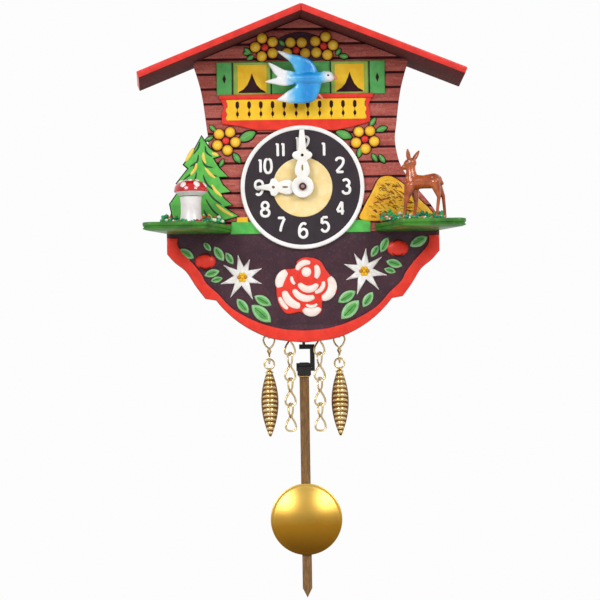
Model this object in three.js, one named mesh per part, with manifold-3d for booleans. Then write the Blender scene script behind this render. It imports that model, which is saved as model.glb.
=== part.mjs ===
// Miniature key-wound cuckoo clock with a bird that bobs with the pendulum.
// Millimetres, +Z up, the front faces -Y and the wall is the plane y = 0.
// The origin is the nail that the back board hangs on. Every piece is drawn around the dial's
// centre, and the whole clock is then moved down so that the nail hole is at the origin.
import * as THREE from 'three';
import { mergeVertices } from 'three/addons/utils/BufferGeometryUtils.js';
import Module from 'manifold-3d';

const wasm = await Module();
wasm.setup();

// ---- driving dimensions ----

const GAP = 0.3;                    // between pieces that touch
const RUNNING = 0.08;               // radial clearance of a running fit
const NAIL_HEIGHT = 46;             // nail hole above the dial's centre

// house
const ROOF_RIDGE = 76;
const ROOF_REACH = 69.9;            // half the width over the roof
const ROOF_PITCH = THREE.MathUtils.degToRad(22);
const ROOF_THICKNESS = 3;
const ROOF_DEPTH = 58;
const PANEL_FRONT = -30;
const PANEL_BACK = -27;
const CASE_HALF_WIDTH = 36;
const CASE_BOARD = 3;
const CASE_FLOOR = -46;
const BACK_BOARD = 2.5;
const SHELF_TOP = -16;
const SHELF_THICKNESS = 3.4;
const SHELF_FRONT = -60;

// dial and hands
const DIAL_RADIUS = 26.4;
const DIAL_BACK = PANEL_FRONT - GAP;
const DIAL_FRONT = DIAL_BACK - 1.5;
const HOUR_HAND_BACK = -32.6;
const MINUTE_HAND_BACK = -34.0;
const HAND_THICKNESS = 0.8;
const HOUR_HAND_LENGTH = 19.6;
const MINUTE_HAND_LENGTH = 24.3;

// movement: layers from the wall to the front
const LEADER_Y = -6;
const BACK_PLATE = [-9, -8];
const FRONT_PLATE = [-20, -19];
const PLATE_HALF = 31;
const PILLAR_AT = 28.5;
const PIVOT_RADIUS = 0.5;
const ARBOR_RADIUS = 0.75;

// wheel centres, x and z
const BARREL_AT = [-14.142, -14.142];
const CENTRE_AT = [0, 0];
const THIRD_AT = [7.73, 9.18];
const ESCAPE_AT = [0, 17];
const ANCHOR_AT = [0, 26];
const MINUTE_WHEEL_AT = [-10, 0];
const RATCHET_TEETH = 12;

// pendulum, chains and weights
const ROD_TOP = -77.4;
const ROD_TIP = -174;
const ROD_WIDTH = 4.05;
const ROD_THICKNESS = 1.8;
const BOB_HEIGHT = -140.6;
const BOB_RADIUS = 15.4;
const EYE_HEIGHT = CASE_FLOOR - 2;  // centre of a tail's eye
const WEIGHT_X = 15;
const WEIGHT_Y = -14;
const TAIL_X = 6.3;
const TAIL_Y = -22.5;
const WEIGHT_EYE_DROP = 3;          // the weights' eyes hang this much lower than the tails'
const WIRE = 0.42;                  // half the thickness of the chain wire
const LINK_LENGTH = 7;
const LINK_WIDTH = 4.8;
const WEIGHT_LINKS = 4;
const TAIL_LINKS = 10;
const CONE_RING = 2.1;
const CONE_TOP = -77.6;
const CONE_LENGTH = 27.6;
const CONE_RADIUS = 4.2;

// ---- materials ----

const finish = (color, roughness, metalness = 0) =>
  new THREE.MeshStandardMaterial({ color, roughness, metalness });

const RED_PAINT = finish(0xd0281c, 0.45);
const LOG_BROWN = finish(0x9c4a3c, 0.6);
const CASE_WOOD = finish(0x6e4426, 0.7);
const GREEN_PLASTIC = finish(0x2c8a4a, 0.35);
const GRASS = finish(0x3f9a55, 0.95);
const DIAL_DARK = finish(0x2e2430, 0.5);
const HAND_WHITE = finish(0xf2eee6, 0.4);
const BRASS = finish(0xc79a3c, 0.3, 1);
const STEEL = finish(0xa7abb0, 0.35, 1);
const BLACK_METAL = finish(0x1b1b1e, 0.5, 0.6);
const ROD_WOOD = finish(0x8a6a34, 0.6);
const BIRD_BLUE = finish(0x3c9bd6, 0.25);
const MUSHROOM_WHITE = finish(0xf0ece2, 0.4);
const MUSHROOM_RED = finish(0xd3222a, 0.3);
const DEER_BROWN = finish(0xa5522c, 0.35);

// ---- helpers ----

const house = new THREE.Group();
house.position.z = -NAIL_HEIGHT;

function place(name, geometry, material, at = [0, 0, 0]) {
  const mesh = new THREE.Mesh(geometry, material);
  mesh.name = name;
  mesh.position.set(...at);
  house.add(mesh);
}

function toSolid(geometry) {
  const bare = geometry.clone();
  bare.deleteAttribute('normal');
  bare.deleteAttribute('uv');
  const merged = mergeVertices(bare, 1e-4);
  const vertProperties = new Float32Array(merged.attributes.position.array);
  const triVerts = new Uint32Array(merged.index.array);
  return new wasm.Manifold(new wasm.Mesh({ numProp: 3, vertProperties, triVerts }));
}

function toGeometry(solid) {
  const mesh = solid.getMesh();
  const geometry = new THREE.BufferGeometry();
  geometry.setAttribute('position', new THREE.BufferAttribute(mesh.vertProperties, 3));
  geometry.setIndex(new THREE.BufferAttribute(mesh.triVerts, 1));
  return geometry;
}

const joined = (...parts) => toGeometry(parts.map(toSolid).reduce((a, b) => a.add(b)));
const cut = (body, ...tools) =>
  toGeometry(tools.map(toSolid).reduce((a, b) => a.subtract(b), toSolid(body)));

function outline(points) {
  return new THREE.Shape(points.map(([x, z]) => new THREE.Vector2(x, z)));
}

function disc(radius, x = 0, z = 0) {
  const shape = new THREE.Shape();
  shape.absarc(x, z, radius, 0, 2 * Math.PI, false);
  return shape;
}

// A shape drawn in x and z, extruded along y from front to back (front is the lower y).
function board(shape, front, back, curveSegments = 12) {
  const depth = back - front;
  const geometry = new THREE.ExtrudeGeometry(shape, { depth, bevelEnabled: false, curveSegments });
  return geometry.rotateX(Math.PI / 2).translate(0, back, 0);
}

// A shape drawn in x and y, extruded upwards from z = bottom to z = top.
function slab(shape, bottom, top) {
  const geometry = new THREE.ExtrudeGeometry(shape, { depth: top - bottom, bevelEnabled: false });
  return geometry.translate(0, 0, bottom);
}

function block(x, y, z) {
  const geometry = new THREE.BoxGeometry(x[1] - x[0], y[1] - y[0], z[1] - z[0]);
  return geometry.translate((x[0] + x[1]) / 2, (y[0] + y[1]) / 2, (z[0] + z[1]) / 2);
}

// A round bar along y.
function bar(radius, front, back, [x, z] = [0, 0], sides = 14) {
  const geometry = new THREE.CylinderGeometry(radius, radius, back - front, sides);
  return geometry.translate(x, (front + back) / 2, z);
}

// A profile of [radius, height] turned around the vertical axis through [x, y].
function turned(profile, [x, y], sides = 20) {
  const points = profile.map(([radius, height]) => new THREE.Vector2(radius, height));
  return new THREE.LatheGeometry(points, sides).rotateX(Math.PI / 2).translate(x, y, 0);
}

// A tapered limb between two points, with round ends.
function limb(from, to, startRadius, endRadius, sides = 6) {
  const start = new THREE.Vector3(...from);
  const axis = new THREE.Vector3(...to).sub(start);
  const length = axis.length();
  const profile = [
    [0, -startRadius], [0.7 * startRadius, -0.7 * startRadius], [startRadius, 0],
    [endRadius, length], [0.7 * endRadius, length + 0.7 * endRadius], [0, length + endRadius],
  ].map(([radius, along]) => new THREE.Vector2(radius, along));
  const turn = new THREE.Quaternion().setFromUnitVectors(new THREE.Vector3(0, 1, 0), axis.normalize());
  return new THREE.LatheGeometry(profile, sides).applyQuaternion(turn).translate(...from);
}

// Wire of round section along a smooth or straight-sided path.
function wire(points, radius, steps, closed = false, sides = 6) {
  const path = new THREE.CatmullRomCurve3(
    points.map((p) => new THREE.Vector3(...p)), closed, 'catmullrom', 0.5);
  const section = new THREE.Shape();
  for (let i = 0; i < sides; i += 1) {
    const angle = (2 * Math.PI * i) / sides;
    const [x, y] = [radius * Math.cos(angle), radius * Math.sin(angle)];
    if (i === 0) section.moveTo(x, y);
    else section.lineTo(x, y);
  }
  return new THREE.ExtrudeGeometry(section, { steps, extrudePath: path, bevelEnabled: false });
}

// ---- gears ----

// A tooth's half width at the tip, as a share of the tooth spacing, and its depth and height from
// the pitch circle, as shares of the module. Slim teeth over V gaps give generous backlash.
const TOOTH = { tip: 0.09, dedendum: 1.6, addendum: 0.8 };

function gear(teeth, pitchRadius, phase, boreRadius, front, back) {
  const pitch = (2 * pitchRadius) / teeth;
  const root = pitchRadius - TOOTH.dedendum * pitch;
  const tip = pitchRadius + TOOTH.addendum * pitch;
  const corners = [[tip, -TOOTH.tip], [tip, TOOTH.tip], [root, 0.5]];
  const spacing = (2 * Math.PI) / teeth;
  const points = [];
  for (let i = 0; i < teeth; i += 1) {
    for (const [radius, share] of corners) {
      const angle = phase + (i + share) * spacing;
      points.push([radius * Math.cos(angle), radius * Math.sin(angle)]);
    }
  }
  const shape = outline(points);
  if (boreRadius > 0) shape.holes.push(disc(boreRadius));
  return board(shape, front, back, 10);
}

const direction = (from, to) => Math.atan2(to[1] - from[1], to[0] - from[0]);

// The phase that puts a gear in mesh with a neighbour of known phase.
function meshed(phase, teeth, partnerTeeth, angle) {
  return angle + Math.PI + Math.PI / partnerTeeth - ((phase - angle) * teeth) / partnerTeeth;
}

// Pitch radii of a pair from their tooth counts and centres.
function pitchRadii(teeth, partnerTeeth, from, to) {
  const spacing = Math.hypot(to[0] - from[0], to[1] - from[1]);
  return [teeth, partnerTeeth].map((count) => (spacing * count) / (teeth + partnerTeeth));
}

// ---- roof and case ----

const roofUnderside = (x) =>
  ROOF_RIDGE - ROOF_THICKNESS / Math.cos(ROOF_PITCH) - Math.abs(x) * Math.tan(ROOF_PITCH);

function roofBoard(side) {
  const topEnd = [ROOF_REACH, ROOF_RIDGE - ROOF_REACH * Math.tan(ROOF_PITCH)];
  const lowEnd = [
    topEnd[0] - ROOF_THICKNESS * Math.sin(ROOF_PITCH),
    topEnd[1] - ROOF_THICKNESS * Math.cos(ROOF_PITCH),
  ];
  const joint = GAP / 2;
  const points = [
    [joint, ROOF_RIDGE - joint * Math.tan(ROOF_PITCH)],
    [joint, roofUnderside(joint)],
    lowEnd,
    topEnd,
  ];
  return board(outline(points.map(([x, z]) => [side * x, z])), -ROOF_DEPTH, 0);
}

// A symmetrical outline, drawn down the left side from [0, top] and back up the right side. Each
// run is one stretch, straight or smooth, whose points are given for the right side.
function symmetrical(top, runs) {
  const shape = new THREE.Shape();
  const trace = (points, smooth, side) => {
    const vectors = points.map(([x, z]) => new THREE.Vector2(side * x, z));
    if (smooth) shape.splineThru(vectors);
    else vectors.forEach((v) => shape.lineTo(v.x, v.y));
  };
  const starts = [[0, top], ...runs.map(({ points }) => points.at(-1))];
  shape.moveTo(0, top);
  for (const { points, smooth } of runs) trace(points, smooth, -1);
  for (let i = runs.length - 1; i >= 0; i -= 1) {
    const back = [starts[i], ...runs[i].points.slice(0, -1)].reverse();
    trace(back, runs[i].smooth, 1);
  }
  return shape;
}

const EAVE = 46;
const panelShape = symmetrical(roofUnderside(0) - GAP, [
  { smooth: false, points: [[EAVE, roofUnderside(EAVE) - GAP]] },
  {
    smooth: true,
    points: [[42.5, 41.5], [40.4, 26.4], [39.8, 18.7], [42.3, 8.3], [49, -1], [56, -10], [58, -17]],
  },
  { smooth: false, points: [[58, -27.6]] },
  { smooth: true, points: [[54.7, -31.3], [50, -35.2], [46, -41.4], [42, -46.8]] },
  { smooth: false, points: [[37.4, -47.6]] },
  { smooth: true, points: [[34.2, -51.4], [28.5, -56.6], [21, -61.3], [12.5, -64.5], [0, -66]] },
]);

// Pine tree whose tips stand out past the left flank of the panel.
const tree = outline([
  [-41, 20.8], [-50.5, 10.2], [-48.5, 8.5], [-54, 2.5], [-52, 0.5], [-57.5, -6], [-40, -12],
]);

place('roof_left', roofBoard(-1), RED_PAINT);
place('roof_right', roofBoard(1), RED_PAINT);

const BIRD_SLOT = 2.6;              // half width of the slot that the bird's wire swings in
const BIRD_HEIGHT = 45;
place('front_panel', cut(
  joined(board(panelShape, PANEL_FRONT, PANEL_BACK, 3), board(tree, PANEL_FRONT, PANEL_BACK)),
  bar(3, PANEL_FRONT - 1, PANEL_BACK + 1),
  block([-BIRD_SLOT, BIRD_SLOT], [PANEL_FRONT - 1, PANEL_BACK + 1], [BIRD_HEIGHT - 1, BIRD_HEIGHT + 1]),
), LOG_BROWN);

const CASE_FRONT = PANEL_BACK + GAP;
const CASE_INSIDE = CASE_HALF_WIDTH - CASE_BOARD;
for (const [name, side] of [['case_side_left', -1], ['case_side_right', 1]]) {
  const corners = [
    [CASE_INSIDE, CASE_FLOOR],
    [CASE_HALF_WIDTH, CASE_FLOOR],
    [CASE_HALF_WIDTH, roofUnderside(CASE_HALF_WIDTH) - GAP],
    [CASE_INSIDE, roofUnderside(CASE_INSIDE) - GAP],
  ];
  place(name, board(outline(corners.map(([x, z]) => [side * x, z])), CASE_FRONT, 0), CASE_WOOD);
}

const FLOOR_HALF = CASE_INSIDE - GAP;
const FLOOR_TOP = CASE_FLOOR + CASE_BOARD;
const EYE_SHANK = 0.5;
const eyePlaces = [
  ['weight_eye_left', -WEIGHT_X, WEIGHT_Y],
  ['weight_eye_right', WEIGHT_X, WEIGHT_Y],
  ['tail_eye_left', -TAIL_X, TAIL_Y],
  ['tail_eye_right', TAIL_X, TAIL_Y],
];
const upright = (radius, x, y, z, sides = 12) =>
  new THREE.CylinderGeometry(radius, radius, z[1] - z[0], sides)
    .rotateX(Math.PI / 2).translate(x, y, (z[0] + z[1]) / 2);
place('case_bottom', cut(
  block([-FLOOR_HALF, FLOOR_HALF], [CASE_FRONT, -BACK_BOARD - GAP], [CASE_FLOOR, FLOOR_TOP]),
  block([-9.5, 9.5], [LEADER_Y - 1.7, LEADER_Y + 1.7], [CASE_FLOOR - 1, FLOOR_TOP + 1]),
  ...eyePlaces.map(([, x, y]) => upright(EYE_SHANK + GAP, x, y, [CASE_FLOOR - 1, CASE_FLOOR + 2.3])),
), CASE_WOOD);

const KEY_WINDOW = 12;              // half the side of the square window around the key
const backBoard = outline([
  [-FLOOR_HALF, CASE_FLOOR],
  [FLOOR_HALF, CASE_FLOOR],
  [FLOOR_HALF, roofUnderside(FLOOR_HALF) - GAP],
  [0, roofUnderside(0) - GAP],
  [-FLOOR_HALF, roofUnderside(FLOOR_HALF) - GAP],
]);
const [keyX, keyZ] = BARREL_AT;
backBoard.holes.push(disc(1.9, 0, NAIL_HEIGHT), outline([
  [keyX - KEY_WINDOW, keyZ - KEY_WINDOW],
  [keyX + KEY_WINDOW, keyZ - KEY_WINDOW],
  [keyX + KEY_WINDOW, keyZ + KEY_WINDOW],
  [keyX - KEY_WINDOW, keyZ + KEY_WINDOW],
]));
place('back_board', board(backBoard, -BACK_BOARD, 0), CASE_WOOD);

// ---- shelves and what stands on them ----

function shelf(side) {
  const back = PANEL_FRONT - GAP;
  const corners = [[30, back], [41, SHELF_FRONT], [66, SHELF_FRONT], [68.6, SHELF_FRONT + 3], [58, back]];
  const plan = outline(corners.map(([x, y]) => [side * x, y]));
  return slab(plan, SHELF_TOP - SHELF_THICKNESS, SHELF_TOP);
}
place('shelf_left', shelf(-1), GREEN_PLASTIC);
place('shelf_right', shelf(1), GREEN_PLASTIC);

const STANDING = SHELF_TOP + GAP;
const MUSHROOM_AT = [-47.6, -47];
const CAP_BASE = -4.4;
place('mushroom_stem', turned(
  [[0, STANDING], [4.9, STANDING], [4.4, STANDING + 3], [4.6, CAP_BASE - GAP], [0, CAP_BASE - GAP]],
  MUSHROOM_AT), MUSHROOM_WHITE);
place('mushroom_cap', turned(
  [[0, CAP_BASE], [4.6, CAP_BASE], [6.9, -3.6], [7.2, -2.7], [6.2, 0], [4, 1.7], [0, 2.5]],
  MUSHROOM_AT), MUSHROOM_RED);

function deer() {
  const y = -47;
  const at = (x, z, aside = 0) => [x, y + aside, z];
  const foot = STANDING + 0.7;
  const leg = (side, hip, knee, footX) => [
    limb(at(...hip, side * 1.4), at(...knee, side * 1.8), 1.8, 0.9),
    limb(at(...knee, side * 1.8), at(footX, foot, side * 1.9), 0.9, 0.7),
  ];
  return joined(
    limb(at(46.2, 0), at(55.2, 0.2), 2.9, 3.1, 8),
    limb(at(46, 0.6), at(45.4, 7.4), 2.4, 1.5),
    limb(at(45.6, 8.4), at(43, 6.4), 2.0, 1.0),
    limb(at(44.9, 9.6, -1.2), at(44, 12.4, -2.4), 0.8, 0.35, 5),
    limb(at(46.4, 9.4, 1.2), at(48.9, 12, 2.4), 0.8, 0.35, 5),
    ...leg(-1, [44.9, -1.4], [43.2, -9], 42.5), ...leg(1, [46.8, -1.4], [47.7, -8.4], 46.8),
    ...leg(-1, [55.8, -1.2], [56.9, -6.4], 56.4), ...leg(1, [56.2, -1.2], [58.9, -6.2], 59.9));
}
place('deer', deer(), DEER_BROWN);

// Flock grass, as low tufts behind and beside the figures.
function tuft(side, reach) {
  const ridge = [[-15, 0], [-14, 2.6], [-9, 3.8], [-4, 2.4], [2, 3.6], [7, 5.2], [11, 2.8], [13, 0]];
  return board(outline(ridge.map(([x, z]) => [side * (reach + x), STANDING + z])), -40, -34);
}
place('grass_left', tuft(-1, 48), GRASS);
place('grass_right', tuft(1, 47), GRASS);

// ---- dial and hands ----

const dialShape = disc(DIAL_RADIUS);
dialShape.holes.push(disc(2.5));
place('dial', board(dialShape, DIAL_FRONT, DIAL_BACK, 24), DIAL_DARK);

const CANNON_OUTER = 1.35;
const CANNON_INNER = ARBOR_RADIUS + RUNNING;
const HOUR_PIPE_INNER = CANNON_OUTER + RUNNING;
const HOUR_PIPE_OUTER = 2.0;

// Outline of one side of a carved hand, as [distance along the hand, half width].
const minuteEdge = [
  [4.2, 2.2], [5.6, 3.1], [7.4, 3.2], [9.6, 2.6], [11.2, 2.2], [12.1, 3.6], [13.4, 4.3],
  [14.7, 3.6], [15.4, 2], [17, 1.7], [20.5, 1.4], [MINUTE_HAND_LENGTH, 1],
];
const hourEdge = [
  [4.2, 2.2], [5.4, 3], [7.2, 3.1], [9.2, 2.5], [10.3, 2.3], [11.1, 3.3], [12.3, 3.8],
  [13.5, 3.2], [14.1, 1.6], [16, 1.2], [18, 0.8], [HOUR_HAND_LENGTH, 0.4],
];

function hand(edge, hubHole, holeAt, back) {
  const hub = 4.7;
  const blade = outline([
    [-1.5, 0],
    ...edge.map(([along, half]) => [-half, along]),
    ...[...edge].reverse().map(([along, half]) => [half, along]),
    [1.5, 0],
  ].reverse());
  const front = back - HAND_THICKNESS;
  const [tear, eye] = holeAt;
  return cut(
    joined(board(disc(hub), front, back), board(blade, front, back)),
    bar(hubHole, front - 1, back + 1),
    bar(0.8, front - 1, back + 1, [0, tear], 10),
    bar(0.8, front - 1, back + 1, [0, eye], 10));
}
const minuteHand = hand(minuteEdge, CANNON_OUTER + RUNNING, [8, 13.4], MINUTE_HAND_BACK);
const hourHand = hand(hourEdge, HOUR_PIPE_OUTER + RUNNING, [7.4, 12.4], HOUR_HAND_BACK);
place('minute_hand', minuteHand, HAND_WHITE);
place('hour_hand', hourHand.rotateY(-Math.PI / 2), HAND_WHITE);

const nutShape = disc(1.6);
nutShape.holes.push(disc(ARBOR_RADIUS + RUNNING));
const NUT_BACK = MINUTE_HAND_BACK - HAND_THICKNESS - GAP;
place('hand_nut', board(nutShape, NUT_BACK - 0.9, NUT_BACK), BRASS);

// ---- movement frame ----

const square = (half) => [[-half, -half], [half, -half], [half, half], [-half, half]];
const pillarCorners = square(PILLAR_AT);
const trainPivots = [BARREL_AT, CENTRE_AT, THIRD_AT, ESCAPE_AT, ANCHOR_AT];
const RAIL_X = 29;
const STUD_RADIUS = 0.7;

function plateShape(pivotRadii) {
  const shape = outline(square(PLATE_HALF));
  trainPivots.forEach(([x, z], i) => shape.holes.push(disc(pivotRadii[i], x, z)));
  for (const [x, z] of pillarCorners) shape.holes.push(disc(0.9, x, z));
  return shape;
}

const BARREL_ARBOR = 1.6;
const barrelHole = BARREL_ARBOR + RUNNING;
const arborHole = ARBOR_RADIUS + RUNNING;
const pivotHole = PIVOT_RADIUS + RUNNING;
const frontPlateShape = plateShape([barrelHole, arborHole, pivotHole, pivotHole, arborHole]);
for (const side of [-1, 1]) frontPlateShape.holes.push(disc(1.1, side * RAIL_X, 0));
place('front_plate', joined(
  board(frontPlateShape, ...FRONT_PLATE, 5),
  bar(STUD_RADIUS, -24.6, FRONT_PLATE[1] - 0.4, MINUTE_WHEEL_AT),
), BRASS);

// The back plate carries the pendulum's cock and the click's stud.
const backPlateShape = plateShape([barrelHole, pivotHole, pivotHole, pivotHole, arborHole]);
const CLICK_AT = [BARREL_AT[0] - 7.2, BARREL_AT[1] + 4.6];
const COCK_PIN = [ANCHOR_AT[0], ANCHOR_AT[1]];
place('back_plate', joined(
  board(backPlateShape, ...BACK_PLATE, 5),
  bar(0.6, BACK_PLATE[1] - 0.4, -6.6, CLICK_AT, 12),
  block([-4, -2.6], [BACK_PLATE[1] - 0.4, -3.4], [ANCHOR_AT[1] + 2, ANCHOR_AT[1] + 4]),
  block([-4, 1], [-4.4, -3.4], [ANCHOR_AT[1] - 1.2, ANCHOR_AT[1] + 4]),
  bar(0.5, LEADER_Y - 0.9, -3.8, COCK_PIN, 16),
), BRASS);

pillarCorners.forEach(([x, z], i) => {
  const pillar = joined(
    bar(1.7, FRONT_PLATE[1] + GAP, BACK_PLATE[0] - GAP, [x, z], 10),
    bar(0.6, FRONT_PLATE[0] - 0.8, BACK_PLATE[1] + 0.8, [x, z], 8));
  place(`pillar_${i + 1}`, pillar, STEEL);
});

// Wooden rails on the case sides, and the screws that hold the front plate on them.
const RAIL_BACK = FRONT_PLATE[0] - GAP;
for (const [word, side] of [['left', -1], ['right', 1]]) {
  const across = [side * (RAIL_X - 2.4), side * FLOOR_HALF].sort((a, b) => a - b);
  const rail = block(across, [CASE_FRONT, RAIL_BACK], [-22, 22]);
  const screwHole = bar(1.1, RAIL_BACK - 4.6, RAIL_BACK + 1, [side * RAIL_X, 0]);
  place(`mounting_rail_${word}`, cut(rail, screwHole), CASE_WOOD);
  place(`movement_screw_${word}`, joined(
    bar(0.8, RAIL_BACK - 4, FRONT_PLATE[1] + GAP + 0.4, [side * RAIL_X, 0], 12),
    bar(1.6, FRONT_PLATE[1] + GAP, FRONT_PLATE[1] + GAP + 1, [side * RAIL_X, 0], 16)), STEEL);
}

// ---- going train ----

const GREAT_TEETH = 50;
const CENTRE_PINION = 10;
const WHEEL_TEETH = 48;
const PINION_TEETH = 8;
const ESCAPE_TEETH = 24;
const ESCAPE_RADIUS = 6.2;

const [greatRadius, centrePinionRadius] = pitchRadii(GREAT_TEETH, CENTRE_PINION, BARREL_AT, CENTRE_AT);
const [centreRadius, thirdPinionRadius] = pitchRadii(WHEEL_TEETH, PINION_TEETH, CENTRE_AT, THIRD_AT);
const [thirdRadius, escapePinionRadius] = pitchRadii(WHEEL_TEETH, PINION_TEETH, THIRD_AT, ESCAPE_AT);

const toCentre = direction(BARREL_AT, CENTRE_AT);
const toThird = direction(CENTRE_AT, THIRD_AT);
const toEscape = direction(THIRD_AT, ESCAPE_AT);
const centrePinionPhase = meshed(0, GREAT_TEETH, CENTRE_PINION, toCentre);
const thirdPinionPhase = meshed(0, WHEEL_TEETH, PINION_TEETH, toThird);
const escapePinionPhase = meshed(0, WHEEL_TEETH, PINION_TEETH, toEscape);

const GREAT_LAYER = [-18.4, -17.2];
const CENTRE_LAYER = [-10.9, -10.1];
const THIRD_LAYER = [-16.4, -15.7];
const ESCAPE_LAYER = [-13.6, -13];
const SHAKE = 0.3;                  // end play of an arbor between the plates
const INSIDE = [FRONT_PLATE[1] + SHAKE, BACK_PLATE[0] - SHAKE];

// Barrel: great wheel and drum in one, open at the back, with the mainspring coiled inside.
const DRUM_RADIUS = 9;
const DRUM_BACK = -11.2;
place('barrel', cut(
  joined(
    gear(GREAT_TEETH, greatRadius, 0, 0, ...GREAT_LAYER),
    bar(DRUM_RADIUS, GREAT_LAYER[1] - 0.4, DRUM_BACK, [0, 0], 18)),
  bar(DRUM_RADIUS - 0.8, GREAT_LAYER[1] + 0.4, DRUM_BACK + 1, [0, 0], 18),
  bar(barrelHole, GREAT_LAYER[0] - 1, DRUM_BACK + 1, [0, 0], 18),
), BRASS, [keyX, 0, keyZ]);

const coverShape = disc(DRUM_RADIUS);
coverShape.holes.push(disc(barrelHole));
place('barrel_cover', board(coverShape, DRUM_BACK + 0.2, DRUM_BACK + 0.8, 16), BRASS, [keyX, 0, keyZ]);

// A flat strip wound from the arbor out to the drum's wall.
function mainspring() {
  const turns = 3;
  const stepsPerTurn = 14;
  const [inner, outer] = [2.6, DRUM_RADIUS - 1.5];
  const strip = 0.35;
  const spiral = (offset, i) => {
    const share = i / (turns * stepsPerTurn);
    const radius = inner + (outer - inner) * share + offset;
    const angle = 2 * Math.PI * turns * share;
    return [radius * Math.cos(angle), radius * Math.sin(angle)];
  };
  const count = turns * stepsPerTurn + 1;
  const outside = Array.from({ length: count }, (_, i) => spiral(strip, i));
  const inside = Array.from({ length: count }, (_, i) => spiral(0, count - 1 - i));
  return board(outline([...outside, ...inside]), GREAT_LAYER[1] + 1, DRUM_BACK - 0.3);
}
place('mainspring', mainspring(), STEEL, [keyX, 0, keyZ]);

// Winding arbor, ratchet wheel, click and key, on the axis of the barrel.
const RATCHET_LAYER = [-7.6, -6.8];
const SQUARE = 1.1;
place('winding_arbor', joined(
  bar(BARREL_ARBOR, FRONT_PLATE[0] + 0.1, BACK_PLATE[1] + 0.1, [0, 0], 18),
  block([-SQUARE, SQUARE], [BACK_PLATE[1], -2.2], [-SQUARE, SQUARE]),
), STEEL, [keyX, 0, keyZ]);

const squareHole = outline(square(SQUARE + RUNNING));
const RATCHET_TIP = 5;
const RATCHET_ROOT = 3.9;
const ratchetPoints = [];
for (let i = 0; i < RATCHET_TEETH; i += 1) {
  const angle = (2 * Math.PI * i) / RATCHET_TEETH;
  ratchetPoints.push([RATCHET_ROOT * Math.cos(angle), RATCHET_ROOT * Math.sin(angle)]);
  ratchetPoints.push([RATCHET_TIP * Math.cos(angle + 0.03), RATCHET_TIP * Math.sin(angle + 0.03)]);
}
const ratchetShape = outline(ratchetPoints);
ratchetShape.holes.push(squareHole);
place('ratchet_wheel', board(ratchetShape, ...RATCHET_LAYER), STEEL, [keyX, 0, keyZ]);

const keyWing = 6.4;
const keyShape = new THREE.Shape();
keyShape.absarc(-keyWing + 2.4, 0, 2.4, Math.PI / 2, 1.5 * Math.PI, false);
keyShape.lineTo(keyWing - 2.4, -2.4);
keyShape.absarc(keyWing - 2.4, 0, 2.4, -Math.PI / 2, Math.PI / 2, false);
const keyHub = [-6.4, -3.6];
place('winding_key', cut(
  joined(bar(2.3, ...keyHub, [0, 0]), board(keyShape, keyHub[1] - 0.4, -0.9)),
  board(squareHole, keyHub[0] - 1, -2),
), BRASS, [keyX, 0, keyZ]);

// Centre arbor with its pinion and wheel.
place('centre_arbor', joined(
  bar(ARBOR_RADIUS, NUT_BACK - 1.2, INSIDE[1], [0, 0]),
  bar(PIVOT_RADIUS, INSIDE[1] - 0.4, BACK_PLATE[1], [0, 0]),
  gear(CENTRE_PINION, centrePinionRadius, centrePinionPhase, 0, -18.6, -16.9)), STEEL);

place('centre_wheel', gear(WHEEL_TEETH, centreRadius, 0, ARBOR_RADIUS + RUNNING, ...CENTRE_LAYER), BRASS);

// Third and escape wheels are pressed on their arbors, each with a cut pinion.
function wheelOnArbor(wheel, pinion) {
  return joined(
    bar(ARBOR_RADIUS, ...INSIDE, [0, 0]),
    bar(PIVOT_RADIUS, FRONT_PLATE[0] + 0.1, BACK_PLATE[1] - 0.1, [0, 0]),
    wheel,
    pinion);
}
const THIRD_PINION_LAYER = [-11.2, -9.8];
place('third_wheel', wheelOnArbor(
  gear(WHEEL_TEETH, thirdRadius, 0, 0, ...THIRD_LAYER),
  gear(PINION_TEETH, thirdPinionRadius, thirdPinionPhase, 0, ...THIRD_PINION_LAYER),
), BRASS, [THIRD_AT[0], 0, THIRD_AT[1]]);

function escapeTeeth() {
  const spacing = (2 * Math.PI) / ESCAPE_TEETH;
  const root = ESCAPE_RADIUS - 1.1;
  const points = [];
  for (let i = 0; i < ESCAPE_TEETH; i += 1) {
    for (const [radius, share] of [[root, 0], [root, 0.55], [ESCAPE_RADIUS, 0.85]]) {
      const angle = (i + share) * spacing;
      points.push([radius * Math.cos(angle), radius * Math.sin(angle)]);
    }
  }
  return board(outline(points), ...ESCAPE_LAYER);
}
const ESCAPE_PINION_LAYER = [-16.8, -15.3];
place('escape_wheel', wheelOnArbor(
  escapeTeeth(),
  gear(PINION_TEETH, escapePinionRadius, escapePinionPhase, 0, ...ESCAPE_PINION_LAYER),
), BRASS, [ESCAPE_AT[0], 0, ESCAPE_AT[1]]);

// ---- motion work between the front plate and the dial ----

const CANNON_TEETH = 10;
const MINUTE_WHEEL_TEETH = 30;
const MINUTE_PINION = 8;
const HOUR_TEETH = 32;
const [cannonRadius, minuteWheelRadius] =
  pitchRadii(CANNON_TEETH, MINUTE_WHEEL_TEETH, CENTRE_AT, MINUTE_WHEEL_AT);
const [minutePinionRadius, hourRadius] =
  pitchRadii(MINUTE_PINION, HOUR_TEETH, MINUTE_WHEEL_AT, CENTRE_AT);
const toMinuteWheel = direction(CENTRE_AT, MINUTE_WHEEL_AT);
const minuteWheelPhase = meshed(0, CANNON_TEETH, MINUTE_WHEEL_TEETH, toMinuteWheel);
const hourPhase = meshed(0, MINUTE_PINION, HOUR_TEETH, toMinuteWheel + Math.PI);
const CANNON_LAYER = [-22.2, -20.6];
const MINUTE_WHEEL_LAYER = [-21.8, -21];
const HOUR_LAYER = [-23.9, -23.1];
const MINUTE_PINION_FRONT = -24.3;
const BORE = [-40, -15];            // long enough to cut through any pipe of the motion work

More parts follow.
